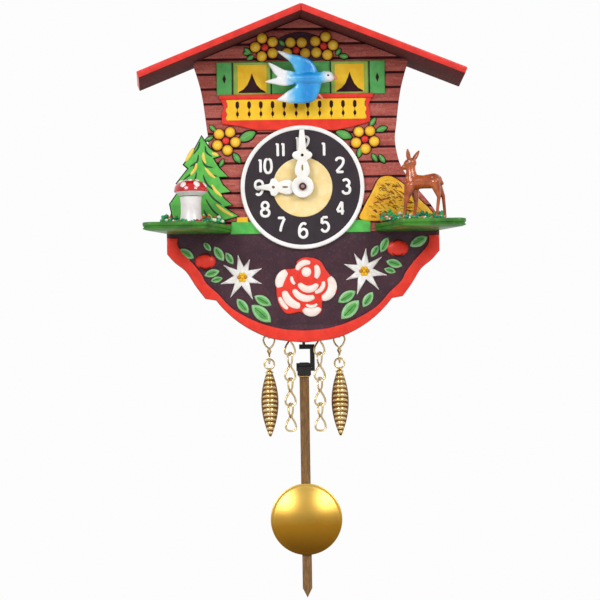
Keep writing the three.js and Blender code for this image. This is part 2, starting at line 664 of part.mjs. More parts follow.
place('cannon_pinion', cut(
  joined(
    bar(CANNON_OUTER, MINUTE_HAND_BACK - HAND_THICKNESS, CANNON_LAYER[1], [0, 0], 18),
    gear(CANNON_TEETH, cannonRadius, 0, 0, ...CANNON_LAYER)),
  bar(CANNON_INNER, ...BORE, [0, 0], 18),
), STEEL);

place('minute_wheel', cut(
  joined(
    gear(MINUTE_WHEEL_TEETH, minuteWheelRadius, minuteWheelPhase, 0, ...MINUTE_WHEEL_LAYER),
    gear(MINUTE_PINION, minutePinionRadius, 0, 0, MINUTE_PINION_FRONT, MINUTE_WHEEL_LAYER[1])),
  bar(STUD_RADIUS + RUNNING, ...BORE),
), BRASS, [MINUTE_WHEEL_AT[0], 0, MINUTE_WHEEL_AT[1]]);

place('hour_wheel', cut(
  joined(
    gear(HOUR_TEETH, hourRadius, hourPhase, 0, ...HOUR_LAYER),
    bar(HOUR_PIPE_OUTER, HOUR_HAND_BACK - HAND_THICKNESS, HOUR_LAYER[1], [0, 0], 18)),
  bar(HOUR_PIPE_INNER, ...BORE, [0, 0], 18),
), BRASS);

// ---- click and its spring ----

const CLICK_LAYER = [-7.6, -6.9];
const clickReach = [keyX - 4.55, keyZ + 0.55];
const clickHub = disc(1.5, ...CLICK_AT);
clickHub.holes.push(disc(0.6 + RUNNING, ...CLICK_AT));
const clickArm = outline([
  [CLICK_AT[0] + 0.9, CLICK_AT[1] - 1.1],
  [CLICK_AT[0] - 1.1, CLICK_AT[1] - 0.9],
  [clickReach[0] - 0.9, clickReach[1] - 0.3],
  clickReach,
].reverse());
place('click', joined(board(clickHub, ...CLICK_LAYER), board(clickArm, ...CLICK_LAYER)), STEEL);

place('click_spring', joined(
  bar(0.9, -7.7, -6.9, [CLICK_AT[0] - 5.2, CLICK_AT[1] - 8], 12),
  wire([
    [CLICK_AT[0] - 5.2, -7.3, CLICK_AT[1] - 8],
    [CLICK_AT[0] - 4.6, -7.3, CLICK_AT[1] - 5],
    [CLICK_AT[0] - 3.2, -7.3, CLICK_AT[1] - 2.6],
  ], 0.2, 6)), STEEL);

// ---- anchor, crutch, bird ----

// Two pallets on an arm that straddles the escape wheel, kept just outside its tips.
function anchorArm() {
  const reach = 6.6;
  const drop = 6.6;
  const arch = outline([
    [-reach - 0.6, -drop], [-reach + 0.3, -drop], [-reach + 1.6, -3.4], [-1.6, -0.4], [1.6, -0.4],
    [reach - 1.6, -3.4], [reach - 0.3, -drop], [reach + 0.6, -drop], [reach, -2.6], [1.4, 1.6], [-1.4, 1.6],
    [-reach, -2.6],
  ]);
  return board(arch, ESCAPE_LAYER[0] - 0.2, ESCAPE_LAYER[1] + 0.2);
}
const ANCHOR_FRONT = -24.6;
place('anchor', joined(
  bar(ARBOR_RADIUS, ANCHOR_FRONT, -7.7, [0, 0]),
  anchorArm()), STEEL, [0, 0, ANCHOR_AT[1]]);

// The crutch hugs the leader from both sides just below the anchor's arbor.
const collar = (front, back) => {
  const ring = disc(1.7);
  ring.holes.push(disc(ARBOR_RADIUS + RUNNING));
  return board(ring, front, back);
};
const CRUTCH_END = -13;
place('crutch', joined(
  collar(-7.9, -7.2),
  block([-0.5, 0.5], [-7.8, -7.3], [CRUTCH_END, -1.2]),
  block([-1.6, 1.6], [-7.8, -7.3], [CRUTCH_END - 1, CRUTCH_END]),
  block([-1.7, -1.0], [-7.8, LEADER_Y + 0.9], [CRUTCH_END - 1, CRUTCH_END]),
  block([1.0, 1.7], [-7.8, LEADER_Y + 0.9], [CRUTCH_END - 1, CRUTCH_END]),
), BLACK_METAL, [0, 0, ANCHOR_AT[1]]);

const BIRD_Y = -38;
const birdArm = BIRD_HEIGHT - ANCHOR_AT[1];
place('bird_wire', joined(
  collar(-24.4, -23.4),
  upright(0.4, 0, -23.9, [1.2, birdArm], 8),
  bar(0.4, BIRD_Y + 2.2 + GAP, -23.5, [0, birdArm], 8),
), STEEL, [0, 0, ANCHOR_AT[1]]);

function bird() {
  const at = (x, z, y = BIRD_Y) => [x, y, z];
  const body = joined(
    limb(at(-3, 45.6), at(5, 45.6), 2.2, 2.9, 10),
    limb(at(5, 45.6), at(11.5, 46.1), 2.9, 2.6, 10),
    limb(at(12.6, 45.6), at(14.6, 44.9), 1.2, 0.35, 8));
  const flat = (points) => board(outline(points), BIRD_Y - 0.8, BIRD_Y + 0.8);
  return joined(body,
    flat([[-4, 45], [1, 45], [7, 46], [5.5, 51.8], [2.5, 55], [-4.9, 56.2], [-10.5, 57.3], [-5, 50.5]]),
    flat([[-4, 44], [-7.6, 38.6], [-11.1, 36.2], [-1.6, 35.1], [4.4, 36], [8, 41.9], [6, 45], [-2, 46]]),
    flat([[-2, 43.6], [-2, 47.6], [-9, 50], [-14.7, 52.6], [-10.6, 47], [-16.5, 44.6], [-9, 43.4]]));
}
place('bird', bird(), BIRD_BLUE);

// ---- pendulum ----

const leaderEye = disc(1.6, ...COCK_PIN);
leaderEye.holes.push(disc(0.5 + RUNNING, ...COCK_PIN));
const LEADER_HALF = 0.6;
const leaderLayer = [LEADER_Y - LEADER_HALF, LEADER_Y + LEADER_HALF];
place('pendulum_leader', joined(
  board(leaderEye, ...leaderLayer),
  block([-LEADER_HALF, LEADER_HALF], leaderLayer, [-66, ANCHOR_AT[1] - 1.2]),
  block([-2, 4.6], leaderLayer, [-67.6, -65.6]),
  block([2.6, 4.6], leaderLayer, [-76.2, -66.6]),
  block([-3.3, 4.6], leaderLayer, [-77, -73.6]),
), BLACK_METAL);

const rodHalf = ROD_WIDTH / 2;
const rodLayer = [LEADER_Y - ROD_THICKNESS / 2, LEADER_Y + ROD_THICKNESS / 2];
place('pendulum_rod', board(outline([
  [-rodHalf, ROD_TOP], [-rodHalf, ROD_TIP + 4], [0, ROD_TIP], [rodHalf, ROD_TIP + 4], [rodHalf, ROD_TOP],
]), ...rodLayer), ROD_WOOD);

// A dished disc in front of the rod, with a slide behind it that grips the rod.
function bob() {
  const dome = 3.2;
  const face = rodLayer[0] - RUNNING;
  const profile = [[0, -0.6], [BOB_RADIUS, -0.6], [BOB_RADIUS, 0]];
  const steps = 5;
  for (let i = 1; i <= steps; i += 1) {
    const angle = (Math.PI / 2) * (i / steps);
    profile.push([(BOB_RADIUS - 0.4) * Math.cos(angle), dome * Math.sin(angle)]);
  }
  const points = profile.map(([radius, height]) => new THREE.Vector2(radius, height));
  const dish = new THREE.LatheGeometry(points, 30).rotateX(Math.PI).translate(0, face - 0.6, BOB_HEIGHT);
  const clasp = [rodHalf + RUNNING, rodHalf + RUNNING + 0.8];
  const height = [BOB_HEIGHT - 5, BOB_HEIGHT + 5];
  const behind = rodLayer[1] + RUNNING;
  return joined(dish,
    block([-clasp[1], -clasp[0]], [face - 0.4, behind + 0.6], height),
    block(clasp, [face - 0.4, behind + 0.6], height),
    block([-clasp[1], clasp[1]], [behind, behind + 0.6], height));
}
place('bob', bob(), BRASS);

// ---- eyes, chains and weights ----

// A screw eye, with its ring's centre at the origin. A weight's ring is turned a quarter, so that
// the first link of its chain hangs face on.
const EYE_RADIUS = 1.5;
function screwEye(shank, turnedAside) {
  const quarters = [[EYE_RADIUS, 0, 0], [0, 0, EYE_RADIUS], [-EYE_RADIUS, 0, 0], [0, 0, -EYE_RADIUS]];
  const ring = wire(quarters, WIRE, 10, true, 5);
  if (turnedAside) ring.rotateZ(Math.PI / 2);
  return joined(ring, upright(EYE_SHANK, 0, 0, [EYE_RADIUS - 0.3, shank], 8));
}
const EYE_SHANK_TOP = 4;
for (const [name, x, y] of eyePlaces) {
  const drop = name.startsWith('weight') ? WEIGHT_EYE_DROP : 0;
  place(name, screwEye(EYE_SHANK_TOP + drop, drop > 0), BRASS, [x, y, EYE_HEIGHT - drop]);
}

// One link, face on in x and z around the origin: a long eye of square wire with flat ends.
function link(turnedAside) {
  const ring = (halfWidth, halfLength) => {
    const flat = 0.5 * halfWidth;
    const straight = halfLength - 0.7 * halfWidth;
    return [
      [halfWidth, -straight], [halfWidth, straight], [flat, halfLength], [-flat, halfLength],
      [-halfWidth, straight], [-halfWidth, -straight], [-flat, -halfLength], [flat, -halfLength],
    ];
  };
  const shape = outline(ring(LINK_WIDTH / 2, LINK_LENGTH / 2));
  shape.holes.push(outline(ring(LINK_WIDTH / 2 - 2 * WIRE, LINK_LENGTH / 2 - 2 * WIRE)));
  const geometry = board(shape, -WIRE, WIRE);
  return turnedAside ? geometry.rotateZ(Math.PI / 2) : geometry;
}

// Each link rests in the one above, and its end just bites into that link's wire. The origin is
// the wire that the first link hangs by.
const LINK_PITCH = LINK_LENGTH - 3.8 * WIRE;
const HANGING_HEIGHT = EYE_HEIGHT - EYE_RADIUS + 2 * WIRE + GAP;
function chain(links, firstTurnedAside) {
  const parts = [];
  for (let i = 0; i < links; i += 1) {
    const turnedAside = (i % 2 === 0) === firstTurnedAside;
    parts.push(link(turnedAside).translate(0, 0, WIRE - LINK_LENGTH / 2 - i * LINK_PITCH));
  }
  return joined(...parts);
}

// A pine cone with a ring on top that hangs in the last link.
function cone(lastWire) {
  const ribs = 6;
  const profile = [[0, CONE_TOP - CONE_LENGTH]];
  for (let i = 0; i < ribs; i += 1) {
    const share = (i + 0.5) / ribs;
    const radius = CONE_RADIUS * Math.sin(Math.PI * (0.1 + 0.8 * share)) ** 0.7;
    const height = CONE_TOP - CONE_LENGTH * (1 - share);
    profile.push([radius, height], [radius * 0.86, height + (0.4 * CONE_LENGTH) / ribs]);
  }
  profile.push([0, CONE_TOP]);
  const ringHeight = lastWire + 3 * WIRE + GAP - CONE_RING;
  const quarters = [[CONE_RING, 0, 0], [0, 0, CONE_RING], [-CONE_RING, 0, 0], [0, 0, -CONE_RING]];
  const ring = wire(quarters, WIRE, 12, true, 5).translate(0, 0, ringHeight);
  const stem = upright(0.6, 0, 0, [CONE_TOP - 1, ringHeight - CONE_RING + 0.2], 8);
  return joined(turned(profile, [0, 0], 10), ring, stem);
}

const weightHanging = HANGING_HEIGHT - WEIGHT_EYE_DROP;
const lastWire = weightHanging + 2 * WIRE - LINK_LENGTH - (WEIGHT_LINKS - 1) * LINK_PITCH;
for (const [word, side] of [['left', -1], ['right', 1]]) {
  const x = side * WEIGHT_X;
  place(`weight_chain_${word}`, chain(WEIGHT_LINKS, false), BRASS, [x, WEIGHT_Y, weightHanging]);
  place(`weight_${word}`, cone(lastWire), BRASS, [x, WEIGHT_Y, 0]);
  place(`tail_chain_${word}`, chain(TAIL_LINKS, true), BRASS, [side * TAIL_X, TAIL_Y, HANGING_HEIGHT]);
}

export default house;
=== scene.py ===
# Looks of the miniature cuckoo clock: painted relief, dial, bird, figures, chains and brass work.
import math
import random

import bmesh
import bpy
from mathutils import Matrix, Vector


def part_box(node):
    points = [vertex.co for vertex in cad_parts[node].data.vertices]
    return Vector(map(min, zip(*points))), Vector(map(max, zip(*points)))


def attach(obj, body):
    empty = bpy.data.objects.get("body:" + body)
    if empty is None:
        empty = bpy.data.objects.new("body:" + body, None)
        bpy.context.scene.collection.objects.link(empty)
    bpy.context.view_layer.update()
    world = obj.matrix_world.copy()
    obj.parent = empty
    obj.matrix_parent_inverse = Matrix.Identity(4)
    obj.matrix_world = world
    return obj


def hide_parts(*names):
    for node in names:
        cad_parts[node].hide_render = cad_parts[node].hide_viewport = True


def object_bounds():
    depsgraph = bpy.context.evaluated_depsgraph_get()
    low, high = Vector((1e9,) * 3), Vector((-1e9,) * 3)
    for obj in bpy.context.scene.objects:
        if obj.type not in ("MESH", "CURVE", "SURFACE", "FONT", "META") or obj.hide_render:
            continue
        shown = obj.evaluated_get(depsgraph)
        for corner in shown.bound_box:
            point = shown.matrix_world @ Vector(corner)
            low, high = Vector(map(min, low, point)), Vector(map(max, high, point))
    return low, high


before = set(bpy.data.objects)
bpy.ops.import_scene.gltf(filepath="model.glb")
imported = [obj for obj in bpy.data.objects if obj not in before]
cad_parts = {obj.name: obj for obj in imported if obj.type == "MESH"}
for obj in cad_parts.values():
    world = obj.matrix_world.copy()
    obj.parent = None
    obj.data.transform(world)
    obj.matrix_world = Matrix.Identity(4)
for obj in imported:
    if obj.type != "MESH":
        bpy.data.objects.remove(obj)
cad_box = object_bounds()

MM = 0.001


def middle(low, high):
    return [(a + b) / 2 for a, b in zip(low, high)]


# Shapes below are drawn in millimetres around the dial's centre: x to the right, z up, and y as in
# the frame, 0 at the wall and negative towards the viewer.
DIAL = Vector(middle(*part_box("dial")))


def metres(point):
    x, y, z = point
    return Vector((DIAL.x + x * MM, y * MM, DIAL.z + z * MM))


def drawn(point):
    return ((point.x - DIAL.x) / MM, point.y / MM, (point.z - DIAL.z) / MM)


def drawn_box(node):
    low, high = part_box(node)
    return drawn(low), drawn(high)


# ---- materials ----

PAINT_STRENGTH = 0.86               # share of a colour code's light that the paint gives back


def linear(hex_colour):
    channels = [int(hex_colour[i:i + 2], 16) / 255 for i in (0, 2, 4)]
    light = [c / 12.92 if c <= 0.04045 else ((c + 0.055) / 1.055) ** 2.4 for c in channels]
    return [PAINT_STRENGTH * c for c in light] + [1]


class Paint:
    """A principled material whose colour and bump come from procedural nodes."""

    def __init__(self, name, roughness, metallic=0.0, coat=0.0):
        self.material = bpy.data.materials.new(name)
        self.material.use_nodes = True
        self.tree = self.material.node_tree
        self.shader = self.tree.nodes["Principled BSDF"]
        for socket, value in (("Roughness", roughness), ("Metallic", metallic), ("Coat Weight", coat),
                              ("Coat Roughness", 0.12), ("Specular IOR Level", min(0.5, 0.9 - roughness))):
            self.shader.inputs[socket].default_value = value
        self.place = self.node("ShaderNodeTexCoord").outputs["Object"]

    def node(self, kind, **settings):
        made = self.tree.nodes.new(kind)
        for key, value in settings.items():
            setattr(made, key, value)
        return made

    def link(self, source, socket):
        """Feeds a socket with a node's output, a colour code or a number."""
        if isinstance(source, str):
            socket.default_value = linear(source)
        elif isinstance(source, (int, float)):
            socket.default_value = source
        else:
            self.tree.links.new(source, socket)

    def stretched(self, scale):
        mapping = self.node("ShaderNodeMapping")
        mapping.inputs["Scale"].default_value = scale
        self.link(self.place, mapping.inputs["Vector"])
        return mapping.outputs["Vector"]

    def noise(self, scale, detail=4, stretch=(1, 1, 1), distortion=0.0):
        noise = self.node("ShaderNodeTexNoise")
        noise.inputs["Scale"].default_value = scale
        noise.inputs["Detail"].default_value = detail
        noise.inputs["Distortion"].default_value = distortion
        self.link(self.stretched(stretch), noise.inputs["Vector"])
        return noise.outputs["Fac"]

    def ramp(self, factor, stops):
        ramp = self.node("ShaderNodeValToRGB")
        while len(ramp.color_ramp.elements) < len(stops):
            ramp.color_ramp.elements.new(0.5)
        for element, (position, hex_colour) in zip(ramp.color_ramp.elements, stops):
            element.position = position
            element.color = linear(hex_colour)
        self.link(factor, ramp.inputs["Fac"])
        return ramp.outputs["Color"]

    def mix(self, factor, first, second):
        mix = self.node("ShaderNodeMix", data_type="RGBA")
        self.link(factor, mix.inputs["Factor"])
        self.link(first, mix.inputs[6])
        self.link(second, mix.inputs[7])
        return mix.outputs[2]

    def over(self, mask, low, high, under, upper):
        """The upper colour laid over the other where the mask climbs from low to high."""
        return self.mix(self.ramp(mask, [(low, "000000"), (high, "ffffff")]), under, upper)

    def maths(self, operation, first, second=0.0, clamp=False):
        node = self.node("ShaderNodeMath", operation=operation, use_clamp=clamp)
        self.link(first, node.inputs[0])
        self.link(second, node.inputs[1])
        return node.outputs[0]

    def wobble(self, scale, detail, amount):
        """Noise around zero."""
        return self.maths("MULTIPLY", self.maths("SUBTRACT", self.noise(scale, detail), 0.5), amount)

    def colour(self, source):
        self.link(source, self.shader.inputs["Base Color"])
        return self

    def roughness(self, factor, low, high):
        scaled = self.node("ShaderNodeMapRange")
        scaled.inputs["To Min"].default_value = low
        scaled.inputs["To Max"].default_value = high
        self.link(factor, scaled.inputs["Value"])
        self.link(scaled.outputs["Result"], self.shader.inputs["Roughness"])
        return self

    def bump(self, height, strength, distance=0.0002):
        bump = self.node("ShaderNodeBump")
        bump.inputs["Strength"].default_value = strength
        bump.inputs["Distance"].default_value = distance
        before = self.shader.inputs["Normal"].links
        if before:
            self.link(before[0].from_socket, bump.inputs["Normal"])
        self.link(height, bump.inputs["Height"])
        self.link(bump.outputs["Normal"], self.shader.inputs["Normal"])
        return self

    def axis(self, name):
        """Object coordinate along x, y or z, in millimetres from the dial's centre."""
        split = self.node("ShaderNodeSeparateXYZ")
        self.link(self.place, split.inputs[0])
        start = {"X": DIAL.x, "Y": 0.0, "Z": DIAL.z}[name]
        return self.maths("MULTIPLY", self.maths("SUBTRACT", split.outputs[name], start), 1 / MM)


def painted(name, light, dark, roughness=0.5, coat=0.1, bump=0.25):
    """Hand-laid enamel: blotches of two close shades, brush marks and a fine orange peel."""
    paint = Paint(name, roughness, coat=coat)
    blotches = paint.noise(260, 6, distortion=0.4)
    paint.colour(paint.ramp(blotches, [(0.36, dark), (0.64, light)]))
    paint.roughness(paint.noise(500, 3), roughness - 0.08, roughness + 0.08)
    paint.bump(paint.noise(900, 5), bump, 0.00012)
    paint.bump(paint.noise(220, 3, stretch=(1, 1, 3)), bump * 0.7, 0.0003)
    return paint.material


def wood(name, light, dark, along, roughness=0.6, coat=0.0):
    """Stained wood, with the grain along one axis."""
    stretch = [9, 9, 9]
    stretch["xyz".index(along)] = 0.6
    paint = Paint(name, roughness, coat=coat)
    grain = paint.noise(90, 9, stretch=stretch, distortion=1.6)
    pores = paint.noise(520, 3, stretch=stretch)
    grained = paint.ramp(grain, [(0.3, dark), (0.52, light), (0.72, dark)])
    paint.colour(paint.over(pores, 0.42, 0.55, dark, grained))
    paint.roughness(grain, roughness - 0.1, roughness + 0.12)
    paint.bump(grain, 0.35, 0.0002)
    paint.bump(pores, 0.25, 0.0001)
    return paint.material


def metal(name, light, dark, roughness, stretch=(1, 1, 1)):
    """Metal with brushed grain and patches of tarnish."""
    paint = Paint(name, roughness, metallic=1.0)
    tarnish = paint.noise(130, 5)
    brushed = paint.noise(900, 4, stretch=stretch)
    paint.colour(paint.ramp(tarnish, [(0.3, dark), (0.62, light)]))
    paint.roughness(brushed, roughness - 0.09, roughness + 0.11)
    paint.bump(brushed, 0.14, 0.00006)
    return paint.material


def glossy(name, light, dark, roughness=0.22, coat=0.5):
    """Moulded plastic or lacquer with slight waves in its surface."""
    paint = Paint(name, roughness, coat=coat)
    paint.colour(paint.ramp(paint.noise(180, 4), [(0.35, dark), (0.65, light)]))
    paint.roughness(paint.noise(420, 4), roughness - 0.06, roughness + 0.08)
    paint.bump(paint.noise(260, 2), 0.3, 0.0003)
    return paint.material


def log_paint():
    paint = Paint("log_red_brown", 0.68)
    grain = paint.noise(120, 8, stretch=(0.5, 1, 5), distortion=1.0)
    speckle = paint.noise(1500, 4)
    base = paint.ramp(grain, [(0.3, "9c463f"), (0.5, "b2574d"), (0.7, "c66e62")])
    paint.colour(paint.over(speckle, 0.5, 0.8, base, "c98378"))
    paint.bump(grain, 0.4, 0.0003)
    paint.bump(speckle, 0.3, 0.00012)
    return paint.material


def board_paint():
    paint = Paint("board_purple_brown", 0.55, coat=0.05)
    blotches = paint.noise(140, 6)
    speckle = paint.noise(1300, 4)
    base = paint.ramp(blotches, [(0.35, "3a1d2b"), (0.65, "4a2835")])
    paint.colour(paint.over(speckle, 0.55, 0.8, base, "62404a"))
    paint.bump(speckle, 0.3, 0.0001)
    return paint.material


def bird_paint():
    """Azure on the back and the roots of the wings, fading to white."""
    paint = Paint("bird_azure_white", 0.2, coat=0.6)
    from_band = paint.maths("ABSOLUTE", paint.maths("SUBTRACT", paint.axis("X"), 2.6))
    across = paint.maths("SUBTRACT", 1.0, paint.maths("DIVIDE", from_band, 10.5), clamp=True)
    strength = paint.maths("ADD", across, paint.wobble(220, 4, 0.5), clamp=True)
    shades = [(0.1, "f4f5f8"), (0.3, "b0dcf4"), (0.52, "3fb4f2"), (0.85, "0f8fdc")]
    paint.colour(paint.ramp(strength, shades))
    feathers = paint.noise(330, 5, stretch=(2.5, 1, 0.8), distortion=0.6)
    paint.bump(feathers, 0.7, 0.0005)
    return paint.material


def deer_paint():
    """Glossy red-brown, with a fawn's spots on the back."""
    paint = Paint("deer_brown", 0.24, coat=0.5)
    blotches = paint.ramp(paint.noise(240, 5), [(0.3, "86330f"), (0.55, "b9561f"), (0.75, "d4702e")])
    cells = paint.node("ShaderNodeTexVoronoi", feature="F1")
    cells.inputs["Scale"].default_value = 420
    paint.link(paint.place, cells.inputs["Vector"])
    spots = paint.ramp(cells.outputs["Distance"], [(0.16, "ffffff"), (0.24, "000000")])
    high = paint.maths("MULTIPLY", paint.maths("SUBTRACT", paint.axis("Z"), 0.2), 1.2, clamp=True)
    back = paint.maths("LESS_THAN", paint.axis("Z"), 3.4)
    where = paint.maths("MULTIPLY", paint.maths("MULTIPLY", spots, high), back)
    paint.colour(paint.mix(paint.maths("MULTIPLY", where, 0.55), blotches, "f0c79a"))
    paint.bump(paint.noise(500, 4), 0.3, 0.0002)
    return paint.material


def bob_brass():
    """Satin brass with painted shade and highlight: dark brown towards the foot of the disc, bright at the
    top as if lit from above.
    """
    paint = Paint("bob_brass_painted_shade", 0.3, metallic=1.0)
    low, high = drawn_box("bob")
    # painted shade and highlight: the colour runs from dark brown at the disc's foot to bright brass at its
    # top, as light from above would show it
    height = paint.maths("DIVIDE", paint.maths("SUBTRACT", paint.axis("Z"), low[2]), high[2] - low[2])
    height = paint.maths("ADD", height, paint.wobble(90, 3, 0.12))
    paint.colour(paint.ramp(height, [(0.04, "7d5418"), (0.4, "b98526"), (0.62, "edbd58"), (1.0, "f3c866")]))
    brushed = paint.noise(2600, 4)
    paint.roughness(brushed, 0.24, 0.4)
    paint.bump(brushed, 0.14, 0.00006)
    return paint.material


ROOF_RED = painted("roof_red", "ee2814", "d41a0b", 0.42, 0.2, 0.3)
ROOF_BROWN = wood("roof_underside", "823f3c", "572a2c", "y", 0.8)
LOGS = log_paint()
GROOVE = painted("groove_dark", "4b1e22", "35161b", 0.8, 0.0)
BOARD = board_paint()
RED = painted("relief_red", "f5351d", "e32812")
GREEN = painted("leaf_green", "62b552", "479c43")
PALE_GREEN = painted("leaf_edge", "a2d59a", "7fc07e")
SHUTTER_GREEN = painted("shutter_green", "5fba60", "4fa856")
LIME = painted("frame_lime", "a9c655", "93b54a")
TREE_GREEN = painted("tree_green", "68cb52", "51b748")
TREE_SHADE = painted("tree_shade", "1d4f2c", "123a22")
STRIP_GREEN = painted("strip_green", "59c452", "49b148")
YELLOW = painted("relief_yellow", "ffd21c", "fbc010")
PALE_YELLOW = painted("relief_pale_yellow", "ffe36a", "fbd447")
AMBER = painted("petal_amber", "e0a024", "c98516")
STRAW = painted("hay_yellow", "ffc71f", "eda814")
STRAW_SHADE = painted("hay_stroke", "a85f0c", "8a4a08")
OUTLINE = painted("outline_dark", "3a1c22", "2a1319", 0.75, 0.0)
WHITE = painted("relief_white", "ffffff", "f2efe9", 0.42)
ROSE_WHITE = painted("rose_white", "fff6ee", "fbe6da", 0.45)
DIAL_DARK = painted("dial_dark", "2b1c27", "22151f", 0.5, 0.1, 0.12)
DIAL_WHITE = painted("dial_white", "ffffff", "f6f3ef", 0.35, 0.2, 0.08)
DIAL_CREAM = painted("dial_cream", "ffeaae", "f8da92", 0.45, 0.1, 0.12)
HAND_WHITE = glossy("hand_white", "ffffff", "f8f4ec", 0.3, 0.35)
CASE_WOOD = wood("case_stained_wood", "7b4a2a", "4b2a17", "z", 0.62)
SHELF_GREEN = glossy("shelf_green", "41901c", "22640e", 0.42, 0.25)
STEM_WHITE = glossy("mushroom_stem_white", "fbf6f4", "e9dfe0", 0.3, 0.4)
CAP_RED = glossy("mushroom_cap_red", "d61820", "b40d16", 0.16, 0.7)
BIRD = bird_paint()
BEAK = glossy("beak_pink", "e9a08a", "d98870", 0.3, 0.3)
EYE_DARK = glossy("eye_dark", "3a4a6a", "20283c", 0.15, 0.5)
DEER = deer_paint()
HOOF = glossy("hoof_dark", "4a2412", "321608", 0.4, 0.2)
BRASS = metal("movement_brass_sheet", "d9ad55", "b98a38", 0.3, (1, 1, 6))
STEEL = metal("movement_steel_bar", "b9bcc0", "8e9298", 0.34, (6, 1, 1))
BOB_BRASS = bob_brass()
GILT = metal("gilt_wire", "ffe8b4", "dcb870", 0.24)
CONE_LIGHT = metal("cone_gilt", "ffeab4", "efcd80", 0.26)
CONE_DARK = metal("cone_recess", "a06c38", "6e4420", 0.42)
NUT_BRONZE = metal("nut_bronze", "8a4a34", "5c2a20", 0.35)
BLACK = painted("blackened_wire", "241a20", "120c10", 0.4, 0.2, 0.3)
ROD = wood("rod_varnished_wood", "a07236", "6b4a20", "z", 0.45, 0.25)


# ---- shapes ----

def catmull(points, steps=6, closed=False):
    """A smooth curve through points of two or three coordinates."""
    count = len(points)
    path = []
    for i in range(count if closed else count - 1):
        near = [points[(i + k) % count] if closed else points[min(max(i + k, 0), count - 1)]
                for k in (-1, 0, 1, 2)]
        for step in range(steps):
            t = step / steps
            path.append(tuple(
                b + 0.5 * t * (c - a + t * (2 * a - 5 * b + 4 * c - d + t * (3 * (b - c) + d - a)))
                for a, b, c, d in zip(*near)))
    if not closed:
        path.append(tuple(points[-1]))
    return path


def arc(centre, radius, start, end, steps):
    """Points on an arc in x and z, angles in degrees counter-clockwise from +X."""
    angles = [math.radians(start + (end - start) * i / steps) for i in range(steps + 1)]
    return [(centre[0] + radius * math.cos(a), centre[1] + radius * math.sin(a)) for a in angles]


def turns(steps):
    """Angles spread evenly round a circle."""
    return [2 * math.pi * k / steps for k in range(steps)]


def oval(centre, across, tall, steps):
    return [(centre[0] + across * math.cos(a), centre[1] + tall * math.sin(a)) for a in turns(steps)]


def circle(centre, radius, steps):
    return oval(centre, radius, radius, steps)


def rectangle(x1, x2, z1, z2):
    return [(x1, z1), (x2, z1), (x2, z2), (x1, z2)]


def both_sides(right):
    """A whole shape from its right half; a point on the middle line is taken once."""
    return right + [(-x, z) for x, z in reversed(right) if x]


def mirrored(outline, side):
    return [(side * x, z) for x, z in outline]


def anticlockwise(outline):
    area = sum(a[0] * b[1] - b[0] * a[1] for a, b in zip(outline, outline[1:] + outline[:1]))
    return list(outline) if area > 0 else list(outline)[::-1]


def moved(outline, dx, dz=0.0):
    return [(x + dx, z + dz) for x, z in outline]


def inset(outline, distance):
    """The outline moved inwards, along the bisector of each corner."""
    shape = []
    for i, (x, z) in enumerate(outline):
        before = Vector(outline[i - 1])
        after = Vector(outline[(i + 1) % len(outline)])
        here = Vector((x, z))
        one = (here - before).normalized()
        two = (after - here).normalized()
        normal = Vector((-one.y - two.y, one.x + two.x)) / max(0.7, 1 + one.dot(two))
        shape.append((x + distance * normal.x, z + distance * normal.y))
    return shape


SHARP = 38                          # degrees between faces above which an edge stays sharp


